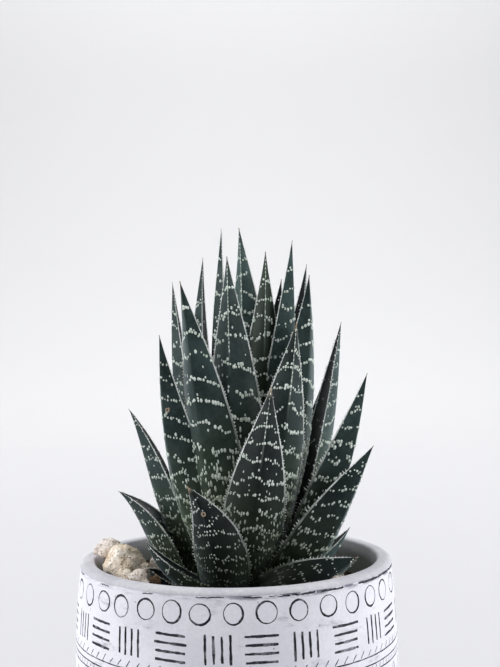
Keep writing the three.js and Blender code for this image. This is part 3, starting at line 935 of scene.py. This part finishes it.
def lace_tree():
    """The whole growth of one leaf: its blade, the tubercles on both faces and the teeth."""
    g = GeometryGroup("lace_leaf", [
        ("geometry", "Leaf"), ("count", "Bands, Columns, Teeth, Keel Dots, Seed"),
        ("value", "Length, Tooth Length, Keel Row, More Gaps, Dot Size"),
        ("material", "Pearl, Tooth"),
    ])
    given = g.given
    growth = growth_group()
    dome = g.wire("GeometryNodeMeshUVSphere", None, {"Segments": 6, "Rings": 3, "Radius": 1.0}, "Mesh")
    spike = g.wire("GeometryNodeMeshCone", None,
                   {"Vertices": 4, "Radius Top": 0.0, "Radius Bottom": 1.0, "Depth": 1.0}, "Mesh")
    domes, spikes = [g.wire("GeometryNodeSetShadeSmooth", None, {"Geometry": shape})
                     for shape in (dome, spike)]
    grown = [given["Leaf"]]

    def grow(kind, step, shape, material, rows, columns, spacing, **values):
        inputs = {"Leaf": given["Leaf"], "Shape": shape, "Length": given["Length"], "Dot Size": 1.0,
                  "Seed": given["Seed"] + step, "Wave Seed": given["Seed"], "Material": material,
                  "Rows": rows, "Columns": columns, "Spacing": spacing, **GROWTHS[kind], **values}
        grown.append(g.wire("GeometryNodeGroup", {"node_tree": growth}, inputs))

    def dot(kind, step, rows, columns, spacing):
        grow(kind, step, domes, given["Pearl"], rows, columns, spacing,
             **{"More Gaps": given["More Gaps"], "Dot Size": given["Dot Size"]})

    for kind, step in (("bands", 10), ("doubles", 20), ("strays", 80)):
        dot(kind, step, given["Bands"], given["Columns"], DOT_SPACING)
    keel_first = g.maths("MAXIMUM", KEEL_ROW_LAST - given["Keel Row"] / given["Length"], KEEL_ROW_LOW)
    grow("keel", 30, domes, given["Pearl"], given["Keel Dots"], 1, 1.0, First=keel_first)
    dot("face", 40, given["Bands"], given["Columns"], FACE_SPACING)
    dot("streaks", 70, given["Length"] * STREAK_SHARE / STREAK_PITCH,
        given["Columns"] * (DOT_SPACING / STREAK_SPACING), STREAK_SPACING)
    for strip, step in (("right", 50), ("left", 60)):
        grow("teeth", step, spikes, given["Tooth"], given["Teeth"], 1, 1.0,
             Strip=STRIP_PLACES[strip], Thickness=given["Tooth Length"])
    g.give_joined(grown)
    return g.tree


def grown_mesh(piece, tree, values):
    """The piece's mesh after a geometry tree has worked on it with these input values."""
    modifier = piece.modifiers.new(tree.name, "NODES")
    modifier.node_group = tree
    for item in tree.interface.items_tree:
        if item.item_type == "SOCKET" and item.in_out == "INPUT" and item.name in values:
            modifier[item.identifier] = values[item.name]
    evaluated = piece.evaluated_get(bpy.context.evaluated_depsgraph_get())
    mesh = bpy.data.meshes.new_from_object(evaluated)
    piece.modifiers.remove(modifier)
    for name in ("facing", "grain", "on_leaf"):
        if name in mesh.attributes:
            mesh.attributes.remove(mesh.attributes[name])
    for slot in reversed(range(len(mesh.materials))):
        if mesh.materials[slot] is None:
            mesh.materials.pop(index=slot)
    return mesh


def make_leaves():
    tree = lace_tree()
    for number, row in enumerate(LEAVES):
        name, width = row[0], row[-2]
        look = {**PLAIN_LOOK, **RING_LOOKS[name.split("_")[1]], **LEAF_LOOKS.get(name, {})}
        seed = 100 * (number + 1)
        blade, length = build_blade(row, look, seed)
        leaf = new_object("laced_" + name, blade)
        leaf.data = grown_mesh(leaf, tree, {
            "Length": length, "Seed": seed, "Pearl": PEARL, "Tooth": TOOTH,
            "Bands": round(length * BAND_SHARE / look["band_pitch"]) + 1,
            "Columns": round(GIRTH_SHARE * width / DOT_SPACING),
            "Teeth": round(length / TOOTH_PITCH), "Tooth Length": look["tooth"],
            "Keel Dots": round(look["keel_row"] / KEEL_DOT_PITCH), "Keel Row": float(look["keel_row"]),
            "More Gaps": look["more_gaps"], "Dot Size": look["dot_size"],
        })
        # per-leaf values: youth, painted shade towards the root, and olive tint
        for value in ("young", "root_shade", "olive"):
            set_point_values(leaf.data, value, [look[value]] * len(leaf.data.vertices))
        finish_piece(leaf, "leaf", name)


# ---- pot --------------------------------------------------------------------------------------

POT_COLUMNS = 168
UNEVENNESS = 0.22       # how far the clay wanders in and out
MARK_DEPTH = 0.28
MARK_LOW_Z = 54.0       # the marked band of the wall
MARK_HIGH_Z = 98.5
MARK_STEP = 2.2
MARK_CLEARANCE = 0.55   # the wall's own points keep this far from the marks, but for its edges
STROKE_PRESSURE = (0.78, 1.2)   # how much thinner and thicker a stroke gets
STROKE_END = 0.85
MAP_R = 56.5            # the wall is unrolled at this radius
SEAM_TURN = -164.3      # and parted at this turn, where no mark lies
SEAM_GAP = 0.8
CIRCLE_COUNT = 34
CIRCLE_R = 3.2
CIRCLE_Z = 93.0
CIRCLE_SIDES = 26
CIRCLE_SWELL = 0.45     # how much harder one side of a circle is pressed than the other
# Turns of the circles seen from the front, hand-stamped and uneven; the rest are even.
FRONT_CIRCLES = (-60.0, -49.4, -40.1, -29.6, -20.2, -10.8, -0.2, 10.4, 21.0, 31.9, 42.2, 52.2, 61.7)
BLOCK_Z = 82.4
BAR_TALL = 8.5
BAR_WIDE = 10.5
BAR_PITCH = 2.6
LIP_LINE_Z = 97.95      # a broken line under the lip: where it is strong, and where it is faint
LIP_LINE_STRONG = ((13, 18), (19, 27), (27.6, 38.5), (46, 58), (58.6, 74), (74.6, 91))
LIP_LINE_FAINT = ((-74, -68), (-52, -47), (-31, -27), (-12, -3), (3, 9), (11, 15.5), (104, 113),
                  (128, 139), (160, 168))
# Turns of the bar blocks seen from the front, hand-stamped and uneven; the rest are even.
FRONT_BLOCKS = (-64.0, -50.5, -36.0, -20.5, -5.0, 8.6, 23.2, 38.6, 53.3, 66.5)
BLOCK_COUNT = 24
LINE_Z = 74.0
TICK_COUNT = 92
TICK_LEAN = 1.6
LOWER_LINES = (71.6, 69.4)
LOWER_SWAY = 0.4        # the lower lines run higher at the left than at the right
LOWER_POINTS = 190
HATCH_COUNT = 140
ZIGZAG_TOP = 67.6
ZIGZAG_LOW = 60.2
ZIGZAG_COUNT = 44
CLOSING_LINE_Z = 57.6
# Widths of the marks.
CIRCLE_LINE = 0.5
UPRIGHT_BAR = 0.8
LEVEL_BAR = 0.82
LIP_STRONG_LINE = 0.66
LIP_FAINT_LINE = 0.34
ROUND_LINE = 0.42
LOWER_LINE = 0.4
TICK_LINE = 0.34
HATCH_LINE = 0.26
ZIGZAG_LINE = 0.45
# Foot, lower wall and cavity of the pot.
FOOT_PROFILE = [(0.01, 0), (20, 0), (38, 0), (FOOT_R - 1, 0), (FOOT_R, 0.25), (FOOT_R + 1.1, 1.1)]
LOWER_WALL_Z = (3, 6, 10, 15, 20, 26, 32, 38, 44, 49, MARK_LOW_Z)
CAVITY_Z = (97, 95, 93, 91, 88, 80, 72, 63, 54, 45, 36, 28, 20, 12)
OUTER_LIP_R = 2.2
INNER_LIP_R = 1.2
WELD_DISTANCE = 0.012
SHARP_ANGLE = 40


def wall_radius(z):
    above = z > BELLY_Z
    share = abs(z - BELLY_Z) / (POT_HEIGHT - BELLY_Z if above else BELLY_Z)
    fall = SHOULDER_FALL if above else BELLY_R - FOOT_R - FOOT_FLARE
    return BELLY_R - fall * share ** 2


def cavity_radius(z):
    return min(wall_radius(z) - WALL, RIM_INNER_R + (POT_HEIGHT - z) * 0.1)


def round_pot(angle, radius, z):
    """A point of the pot: angle 0 faces the front, and the clay is a little uneven."""
    point = Vector((radius * math.sin(angle), -radius * math.cos(angle), z))
    slow = noise.noise(point * 0.03)
    return point + Vector((point.x, point.y, 0)).normalized() * (UNEVENNESS * slow)


def stroke(points, width, rng, closed=False, swell=0.0):
    """The outline of a hand-drawn line through points: its two sides, wobbling a little, and
    pressed harder on one side of a closed line by swell."""
    left, right = [], []
    count = len(points)
    pressed_at = rng.uniform(0, math.tau)
    for i, (x, z) in enumerate(points):
        if closed:
            ahead, behind = points[(i + 1) % count], points[i - 1]
        else:
            ahead, behind = points[min(i + 1, count - 1)], points[max(i - 1, 0)]
        dx, dz = ahead[0] - behind[0], ahead[1] - behind[1]
        size = math.hypot(dx, dz)
        half = width / 2 * rng.uniform(*STROKE_PRESSURE)
        half *= 1 + swell * math.sin(math.tau * i / count + pressed_at)
        if not closed and i in (0, count - 1):
            half *= STROKE_END
        nx, nz = -dz / size * half, dx / size * half
        left.append((x + nx, z + nz))
        right.append((x - nx, z - nz))
    return left, right


def line_points(start, end, step, wobble, rng):
    count = max(2, round(math.dist(start, end) / step) + 1)
    points = []
    for i in range(count):
        share = i / (count - 1)
        x = start[0] + (end[0] - start[0]) * share
        z = start[1] + (end[1] - start[1]) * share
        points.append((x + rng.uniform(-wobble, wobble), z + rng.uniform(-wobble, wobble)))
    return points


class Marks:
    """The stamped marks as closed outlines on the unrolled wall: x along it, z up."""

    def __init__(self):
        self.outlines = []      # closed loops; a point within an odd number of them is in a mark
        self.rng = random.Random(11)

    def path(self, points, width):
        left, right = stroke(points, width, self.rng)
        self.outlines.append([*right, *reversed(left)])

    def line(self, start, end, width, step=1.3, wobble=0.06):
        self.path(line_points(start, end, step, wobble, self.rng), width)

    def ring(self, x, z, radius, width):
        rng = self.rng
        wide, tall = radius * rng.uniform(0.93, 1.05), radius * rng.uniform(0.95, 1.08)
        points = []
        for i in range(CIRCLE_SIDES):
            turn = 2 * math.pi * i / CIRCLE_SIDES
            points.append((x + wide * math.cos(turn) + rng.uniform(-0.05, 0.05),
                           z + tall * math.sin(turn) + rng.uniform(-0.05, 0.05)))
        left, right = stroke(points, width, rng, closed=True, swell=CIRCLE_SWELL)
        self.outlines += [left, right]


def arc(degrees):
    return math.radians(degrees) * MAP_R


def on_wall(turn):
    """The place of a turn on the unrolled wall."""
    return arc((turn - SEAM_TURN) % 360 + SEAM_TURN)


def all_turns(front, count):
    """The turn of every stamp in a row: those at the front, then an even spread round the back."""
    left = count - len(front)
    gap = (360 - front[-1] + front[0]) / (left + 1)
    return list(front) + [front[-1] + gap * (i + 1) for i in range(left)]


def stamp_blocks(marks):
    """Blocks of four bars, upright and level by turns."""
    rng = marks.rng
    for number, turn in enumerate(all_turns(FRONT_BLOCKS, BLOCK_COUNT)):
        centre = on_wall(turn)
        tilt = rng.uniform(-0.25, 0.25)
        for bar in (-1.5, -0.5, 0.5, 1.5):
            uneven = rng.uniform(-0.35, 0.35)
            offset = bar * BAR_PITCH
            if number % 2 == 0:
                reach = BAR_TALL / 2 + uneven
                marks.line((centre + offset, BLOCK_Z - reach),
                           (centre + offset + tilt, BLOCK_Z + reach), UPRIGHT_BAR)
            else:
                reach = BAR_WIDE / 2 + uneven
                marks.line((centre - reach, BLOCK_Z + offset - tilt),
                           (centre + reach, BLOCK_Z + offset + tilt), LEVEL_BAR)


def stamp_bands(marks):
    """Everything under the blocks that runs round the pot."""
    rng = marks.rng
    start, end = arc(SEAM_TURN) + SEAM_GAP, arc(SEAM_TURN + 360) - SEAM_GAP

    def spread(count):
        return [start + (end - start) * (k + 0.5) / count for k in range(count)]

    def sway(x):
        return LOWER_SWAY * math.sin(x / MAP_R)

    marks.line((start, LINE_Z), (end, LINE_Z), ROUND_LINE, 1.8)
    for x in spread(TICK_COUNT):
        top = LINE_Z + 2.4 + rng.uniform(-0.3, 0.3)
        marks.line((x, LINE_Z + 0.4), (x + TICK_LEAN, top), TICK_LINE, 1.1)
    for z in LOWER_LINES:
        marks.path([(x, z - sway(x) + rng.uniform(-0.06, 0.06)) for x in spread(LOWER_POINTS)],
                   LOWER_LINE)
    for x in spread(HATCH_COUNT):
        low = LOWER_LINES[1] - sway(x)
        marks.line((x, low + 0.4), (x + 0.7, low + 1.75), HATCH_LINE, 0.9)
    step = (end - start) / ZIGZAG_COUNT / 2
    for x in spread(ZIGZAG_COUNT):
        marks.line((x - step * 0.85, ZIGZAG_LOW), (x - step * 0.12, ZIGZAG_TOP), ZIGZAG_LINE)
        marks.line((x + step * 0.12, ZIGZAG_TOP), (x + step * 0.85, ZIGZAG_LOW), ZIGZAG_LINE)
    marks.line((start, CLOSING_LINE_Z), (end, CLOSING_LINE_Z), ROUND_LINE, 1.8)


def stamp_marks():
    marks = Marks()
    for turn in all_turns(FRONT_CIRCLES, CIRCLE_COUNT):
        marks.ring(on_wall(turn), CIRCLE_Z + marks.rng.uniform(-0.3, 0.3), CIRCLE_R, CIRCLE_LINE)
    for spans, width in ((LIP_LINE_STRONG, LIP_STRONG_LINE), (LIP_LINE_FAINT, LIP_FAINT_LINE)):
        for low, high in spans:
            marks.line((arc(low), LIP_LINE_Z), (arc(high), LIP_LINE_Z), width, 0.9, 0.15)
    stamp_blocks(marks)
    stamp_bands(marks)
    return marks.outlines


def marked_wall(outlines):
    """Triangles of the unrolled wall, cut along the outlines. Returns the points, the triangles and,
    for each triangle, whether it lies in a mark."""
    points, loops = [], []
    for outline in outlines:
        loops.append(list(range(len(points), len(points) + len(outline))))
        points += [Vector(p) for p in outline]
    drawn = kdtree.KDTree(len(points))
    for i, p in enumerate(points):
        drawn.insert((p.x, p.y, 0), i)
    drawn.balance()
    rows = round((MARK_HIGH_Z - MARK_LOW_Z) / MARK_STEP)
    for r in range(rows + 1):
        z = MARK_LOW_Z + (MARK_HIGH_Z - MARK_LOW_Z) * r / rows
        for c in range(POT_COLUMNS + 1):
            x = arc(SEAM_TURN + 360 * c / POT_COLUMNS)
            at_edge = r in (0, rows) or c in (0, POT_COLUMNS)
            if at_edge or drawn.find((x, z, 0))[2] > MARK_CLEARANCE:
                points.append(Vector((x, z)))
    corners, _, triangles, _, _, sources = geometry.delaunay_2d_cdt(points, [], loops, 0, 1e-5)
    return corners, triangles, [len(source) % 2 == 1 for source in sources]


def arc_profile(centre_r, centre_z, r, z, start, end, steps):
    """Points of a quarter round between two angles, in degrees from straight out."""
    profile = []
    for i in range(steps + 1):
        turn = math.radians(start + (end - start) * i / steps)
        profile.append((centre_r + r * math.cos(turn), centre_z + z * math.sin(turn)))
    return profile


class PotSkin:
    """The faces of the pot as they are made, with the material slot of each."""

    SLIP, STAIN, RIM = range(3)

    def __init__(self):
        self.points = []
        self.faces = []
        self.slots = []

    def add(self, slot, *faces):
        self.faces += faces
        self.slots += [slot] * len(faces)

    def add_marked_wall(self):
        """The wall's marked band, with the marks sunk into it."""
        corners, triangles, in_mark = marked_wall(stamp_marks())

        def wall_point(corner, depth=0.0):
            return round_pot(corner.x / MAP_R, wall_radius(corner.y) - depth, corner.y)

        self.points += [wall_point(c) for c in corners]
        sunk = {}

        def low(index):
            if index not in sunk:
                sunk[index] = len(self.points)
                self.points.append(wall_point(corners[index], MARK_DEPTH))
            return sunk[index]

        plain_edges = set()
        for triangle, marked in zip(triangles, in_mark):
            if not marked:
                plain_edges |= {(triangle[i], triangle[(i + 1) % 3]) for i in range(3)}
        for triangle, marked in zip(triangles, in_mark):
            if not marked:
                self.add(self.SLIP, tuple(triangle))
                continue
            self.add(self.STAIN, tuple(low(i) for i in triangle))
            for i in range(3):
                a, b = triangle[i], triangle[(i + 1) % 3]
                if (b, a) in plain_edges:
                    self.add(self.STAIN, (a, b, low(b), low(a)))

    def add_lathed(self, profile, slot):
        """Rings of points for (radius, z) pairs, at the wall's own columns, and the quads between
        them; the profile runs so that the skin faces out."""
        first = len(self.points)
        for radius, z in profile:
            self.points += [round_pot(math.radians(SEAM_TURN + 360 * c / POT_COLUMNS), radius, z)
                            for c in range(POT_COLUMNS)]
        self.add(slot, *ring_quads(len(profile), POT_COLUMNS, first))


def make_pot():
    skin = PotSkin()
    skin.add_marked_wall()
    skin.add_lathed(FOOT_PROFILE + [(wall_radius(z), z) for z in LOWER_WALL_Z], skin.SLIP)
    lip = [(wall_radius(MARK_HIGH_Z), MARK_HIGH_Z)]
    lip += arc_profile(RIM_OUTER_R - OUTER_LIP_R, POT_HEIGHT - RIM_ROUNDING, OUTER_LIP_R,
                       RIM_ROUNDING, 8, 90, 6)
    lip += arc_profile(RIM_INNER_R + INNER_LIP_R, POT_HEIGHT - INNER_LIP_R, -INNER_LIP_R,
                       INNER_LIP_R, 90, 0, 5)
    inside = [(cavity_radius(z), z) for z in CAVITY_Z]
    floor = [(r, BASE_THICKNESS) for r in (FOOT_R - WALL, 20, 0.01)]
    skin.add_lathed(lip + inside + floor, skin.RIM)

    mesh = mesh_of("stamped_pot", skin.points, skin.faces, [clay_wall(), clay_stain(), clay_rim()],
                   skin.slots)
    shape = bmesh.new()
    shape.from_mesh(mesh)
    bmesh.ops.remove_doubles(shape, verts=shape.verts, dist=WELD_DISTANCE)
    shape.to_mesh(mesh)
    shape.free()
    mesh.set_sharp_from_angle(angle=math.radians(SHARP_ANGLE))
    finish_piece(new_object("stamped_pot", mesh), "clay", "pot")


# ---- soil and stem ----------------------------------------------------------------------------

SOIL_SIDES = 120
SOIL_WALL_Z = (12, 20, 36, 54, 72, 84, SOIL_Z - 0.6)
SOIL_RINGS = 24      # rings of points on the soil's top
SOIL_HEAVE = 0.9     # heights of its broad swells and of its small clods
SOIL_CLODS = 0.4
SOIL_SETTLING = 0.2
SOIL_DIP = 3.8       # how far the soil has sunk against the wall at the right
STEM_SIDES = 48
STEM_PROFILE = [(STEM_FOOT_R, SOIL_GAP), (STEM_FOOT_R, 1.5), (12.5, 3.4), (10, 5.4),
                (STEM_TOP_R + 3, 8), (STEM_TOP_R + 1.6, 10.5), (STEM_TOP_R, STEM_HEIGHT)]
STEM_RIDGES = 9
STEM_RIDGE_DEPTH = 0.35


def crumb_tree():
    """Scatters small broken crumbs over a surface, where it faces up by at least Level."""
    g = GeometryGroup("crumbs", [
        ("geometry", "Ground"), ("value", "Density, Smallest, Largest, Level"), ("count", "Seed"),
        ("material", "Material"),
    ])
    given = g.given
    facing_up = g.part(g.wire("GeometryNodeInputNormal"), 2)
    spread = g.wire("GeometryNodeDistributePointsOnFaces", None,
                    {"Mesh": given["Ground"], "Density": given["Density"], "Seed": given["Seed"],
                     "Selection": g.maths("GREATER_THAN", facing_up, given["Level"])}, "Points")
    lump = g.wire("GeometryNodeMeshIcoSphere", None, {"Radius": 1.0, "Subdivisions": 1}, "Mesh")

    def three_random(step, inputs):
        return g.wire("FunctionNodeRandomValue", {"data_type": "FLOAT_VECTOR"},
                      {"Seed": given["Seed"] + step, **inputs})

    turn = three_random(1, {1: (math.tau, math.tau, math.tau)})
    size = three_random(2, {0: given["Smallest"], 1: given["Largest"]})
    crumbs = g.solid_copies(spread, lump, turn, size, given["Material"])
    g.give_joined([given["Ground"], crumbs])
    return g.tree


def circle(radius, z, sides, x=0.0):
    return [Vector((x + radius * math.cos(math.tau * c / sides),
                    radius * math.sin(math.tau * c / sides), z)) for c in range(sides)]


def ringed_object(name, rows, material):
    """A closed body through rings of points of equal count."""
    sides = len(rows[0])
    faces = ring_quads(len(rows), sides) + end_caps(len(rows), sides)
    return new_object(name, mesh_of(name, [p for row in rows for p in row], faces, [material]))


def make_soil(crumbs):
    rows = [circle(FOOT_R - WALL - SOIL_GAP, BASE_THICKNESS + SOIL_GAP, SOIL_SIDES)]
    rows += [circle(cavity_radius(z) - SOIL_GAP, z, SOIL_SIDES) for z in SOIL_WALL_Z]
    wall_rows = len(rows)
    edge = cavity_radius(SOIL_Z) - SOIL_GAP
    for k in range(SOIL_RINGS):
        rows.append(circle((edge - 0.7) * (1 - k / SOIL_RINGS), SOIL_Z, SOIL_SIDES))
    for row in rows[wall_rows:]:
        for point in row:
            swell, clod = noise.noise(point * 0.35), noise.noise(point * 1.1)
            point.z += SOIL_HEAVE * swell + SOIL_CLODS * clod - SOIL_SETTLING
    for row in rows[wall_rows - 1:]:
        for point in row:
            point.z -= SOIL_DIP * smooth_step(24, 44, point.x) * smooth_step(-26, -10, point.y)
    soil = ringed_object("compost_fill", rows, compost())
    soil.data = grown_mesh(soil, crumbs, {
        "Density": 0.24, "Smallest": 0.3, "Largest": 1.15, "Level": 0.5, "Seed": 5,
        "Material": crumb(),
    })
    finish_piece(soil, "compost", "soil")


def make_stem():
    rows = [circle(r, SOIL_Z + z, STEM_SIDES, PLANT_X) for r, z in STEM_PROFILE]
    for k, row in enumerate(rows):
        for c, point in enumerate(row):
            ridge = STEM_RIDGE_DEPTH * math.sin(STEM_RIDGES * math.tau * c / STEM_SIDES + k)
            away = Vector((point.x - PLANT_X, point.y, 0)).normalized()
            point += away * (ridge - STEM_RIDGE_DEPTH)
    finish_piece(ringed_object("ringed_stem", rows, stem_bark()), "stem", "stem")


# ---- stones -----------------------------------------------------------------------------------

PORE_SIZE = 1.5      # mm between the pores of the stones
PORE_DEPTH = 0.28
PORE_MOUTH = (0.12, 0.36)    # a pore's floor and its edge, in pore sizes
LUMP_SIZE = 3.2      # mm between the knobs that they are grown together from
LUMP_DEPTH = 0.8
LUMPINESS = 0.06     # how far a stone is from an even ellipsoid, before knobs and chips
CHIP_DEPTH = 0.9
GRIT_DEPTH = 0.2
GRAIN_DENSITY = 0.9  # loose grains on a square millimetre


def lumpiness(p, seed):
    waves = math.sin(3.1 * p.x + seed) + math.sin(2.7 * p.y + 2 * seed) + math.sin(3.4 * p.z + 5 * seed)
    return 1 + LUMPINESS * waves


def nearest_cell(p, size, shift):
    """How far p is from the nearest of scattered points, in sizes."""
    return noise.voronoi(p / size + Vector(shift))[0][0]


def make_stones(crumbs):
    finishes = {name: stone_finish(name) for name in STONE_COLOURS}
    for name, x, y, a, b, c, turn, lift, seed, finish in STONES:
        shape = bmesh.new()
        bmesh.ops.create_icosphere(shape, subdivisions=5, radius=1)
        spin = Matrix.Rotation(math.radians(turn), 3, "Z")
        for vert in shape.verts:
            p = vert.co * lumpiness(vert.co, seed)
            p = spin @ Vector((p.x * a, p.y * b, p.z * c))
            lump = LUMP_DEPTH * (0.4 - nearest_cell(p, LUMP_SIZE, (0, seed * 1.7, 0)))
            chips = CHIP_DEPTH * noise.noise(p * 0.35 + Vector((seed, 0, 0))) + lump
            near = nearest_cell(p, PORE_SIZE, (seed * 3.1, 0, 0))
            pore = -PORE_DEPTH * (1 - smooth_step(*PORE_MOUTH, near))
            grit = GRIT_DEPTH * noise.noise(p * 2.2)
            vert.co = p + p.normalized() * (chips + pore + grit)
        low = min(v.co.z for v in shape.verts)
        for vert in shape.verts:
            vert.co += Vector((x, y, SOIL_Z + SOIL_GAP + lift - low))
        mesh = mesh_of("porous_" + name, [], [], [finishes[finish]])
        shape.to_mesh(mesh)
        shape.free()
        mesh.shade_smooth()
        stone = new_object("porous_" + name, mesh)
        stone.data = grown_mesh(stone, crumbs, {
            "Density": GRAIN_DENSITY, "Smallest": 0.12, "Largest": 0.42, "Level": -0.4, "Seed": seed,
            "Material": finishes[finish],
        })
        finish_piece(stone, "stone", name)


# ---- stage, light and camera, in metres ---------------------------------------------------------

ROOM_FRONT = 0.1        # how bright the room is in front of the pot, behind it and as a background
ROOM_BACK = 0.98
ROOM_SEEN = 0.9
ROOM_COLOUR = (0.985, 0.985, 1.0, 1)
FLOOR_HALF = 3.0
SWEEP_START = 1.6
SWEEP_R = 1.0
SWEEP_STEPS = 24
WALL_TOP = 3.4
# Each light: name, place, the point it is turned to, width and height, watts and colour.
LIGHTS = (
    ("window_left", (-1.4, -0.3, 0.7), (0, 0, 0.12), (1.0, 1.4), 16, (0.98, 0.98, 1.0)),
    ("window_right", (1.4, -0.2, 0.6), (0, 0, 0.12), (1.0, 1.4), 17, (0.98, 0.98, 1.0)),
    ("backdrop_wash", (0, 0.9, 2.6), (0, 2.6, 1.2), (2.5, 0.6), 41, (1.0, 1.0, 0.99)),
)
CAMERA_PLACE = Vector((6.0, -361.3, 172.1)) * MM
CAMERA_RISE = 1.17      # degrees above the horizon
CAMERA_ROLL = 0.74
CAMERA_LENS = 72.0
CAMERA_SENSOR = 36.0


def make_stage():
    """A pale floor that sweeps up into a wall a good way behind the pot."""
    profile = [(-FLOOR_HALF, 0), (SWEEP_START, 0)]
    for i in range(1, SWEEP_STEPS + 1):
        turn = math.pi / 2 * i / SWEEP_STEPS
        profile.append((SWEEP_START + SWEEP_R * math.sin(turn), SWEEP_R * (1 - math.cos(turn))))
    profile.append((SWEEP_START + SWEEP_R, WALL_TOP))
    points = []
    for y, z in profile:
        points += [(-FLOOR_HALF, y, z), (FLOOR_HALF, y, z)]
    faces = [(2 * i, 2 * i + 1, 2 * i + 3, 2 * i + 2) for i in range(len(profile) - 1)]
    sweep = new_object("studio_sweep", mesh_of("studio_sweep", points, faces, [backdrop_paper()]))


def make_light():
    """A white room: bright behind and beside the pot, dimmer on the side that the camera is on."""
    world = bpy.data.worlds.new("white_room")
    world.use_nodes = True
    sky = world.node_tree.nodes["Background"]
    g = Graph(world.node_tree)
    heading = g.part(g.wire("ShaderNodeTexCoord", output="Generated"), 1)
    glow = g.ramp(heading, -0.75, -0.15, ROOM_FRONT, ROOM_BACK)
    seen = g.wire("ShaderNodeLightPath", output="Is Camera Ray")
    strength = g.wire("ShaderNodeMix", {"data_type": "FLOAT"}, {0: seen, 2: glow, 3: ROOM_SEEN})
    plug(sky.inputs["Strength"], strength)
    plug(sky.inputs["Color"], ROOM_COLOUR)
    bpy.context.scene.world = world
    bpy.context.scene.view_settings.view_transform = "Standard"
    for name, place, aim, size, watts, colour in LIGHTS:
        lamp = bpy.data.lights.new(name, "AREA")
        lamp.shape = "RECTANGLE"
        lamp.size, lamp.size_y = size
        lamp.energy = watts
        lamp.color = colour
        holder = new_object(name, lamp)
        holder.location = place
        holder.rotation_euler = (Vector(aim) - Vector(place)).to_track_quat("-Z", "Y").to_euler()


def make_camera():
    rise, roll = math.radians(CAMERA_RISE), math.radians(CAMERA_ROLL)
    ahead = Vector((0, math.cos(rise), math.sin(rise)))
    level = Vector((1, 0, 0))
    right = level * math.cos(roll) - level.cross(ahead) * math.sin(roll)
    above = right.cross(ahead)
    lens = bpy.data.cameras.new("camera")
    lens.sensor_fit = "HORIZONTAL"
    lens.sensor_width = CAMERA_SENSOR
    lens.lens = CAMERA_LENS
    lens.clip_start, lens.clip_end = 0.02, 30
    camera = new_object("camera", lens)
    turned = Matrix((right, above, -ahead)).transposed().to_4x4()
    camera.matrix_world = Matrix.Translation(CAMERA_PLACE) @ turned
    bpy.context.scene.camera = camera


make_camera()
make_light()
make_stage()
make_pot()
soil_crumbs = crumb_tree()
make_soil(soil_crumbs)
make_stem()
make_leaves()
make_stones(soil_crumbs)
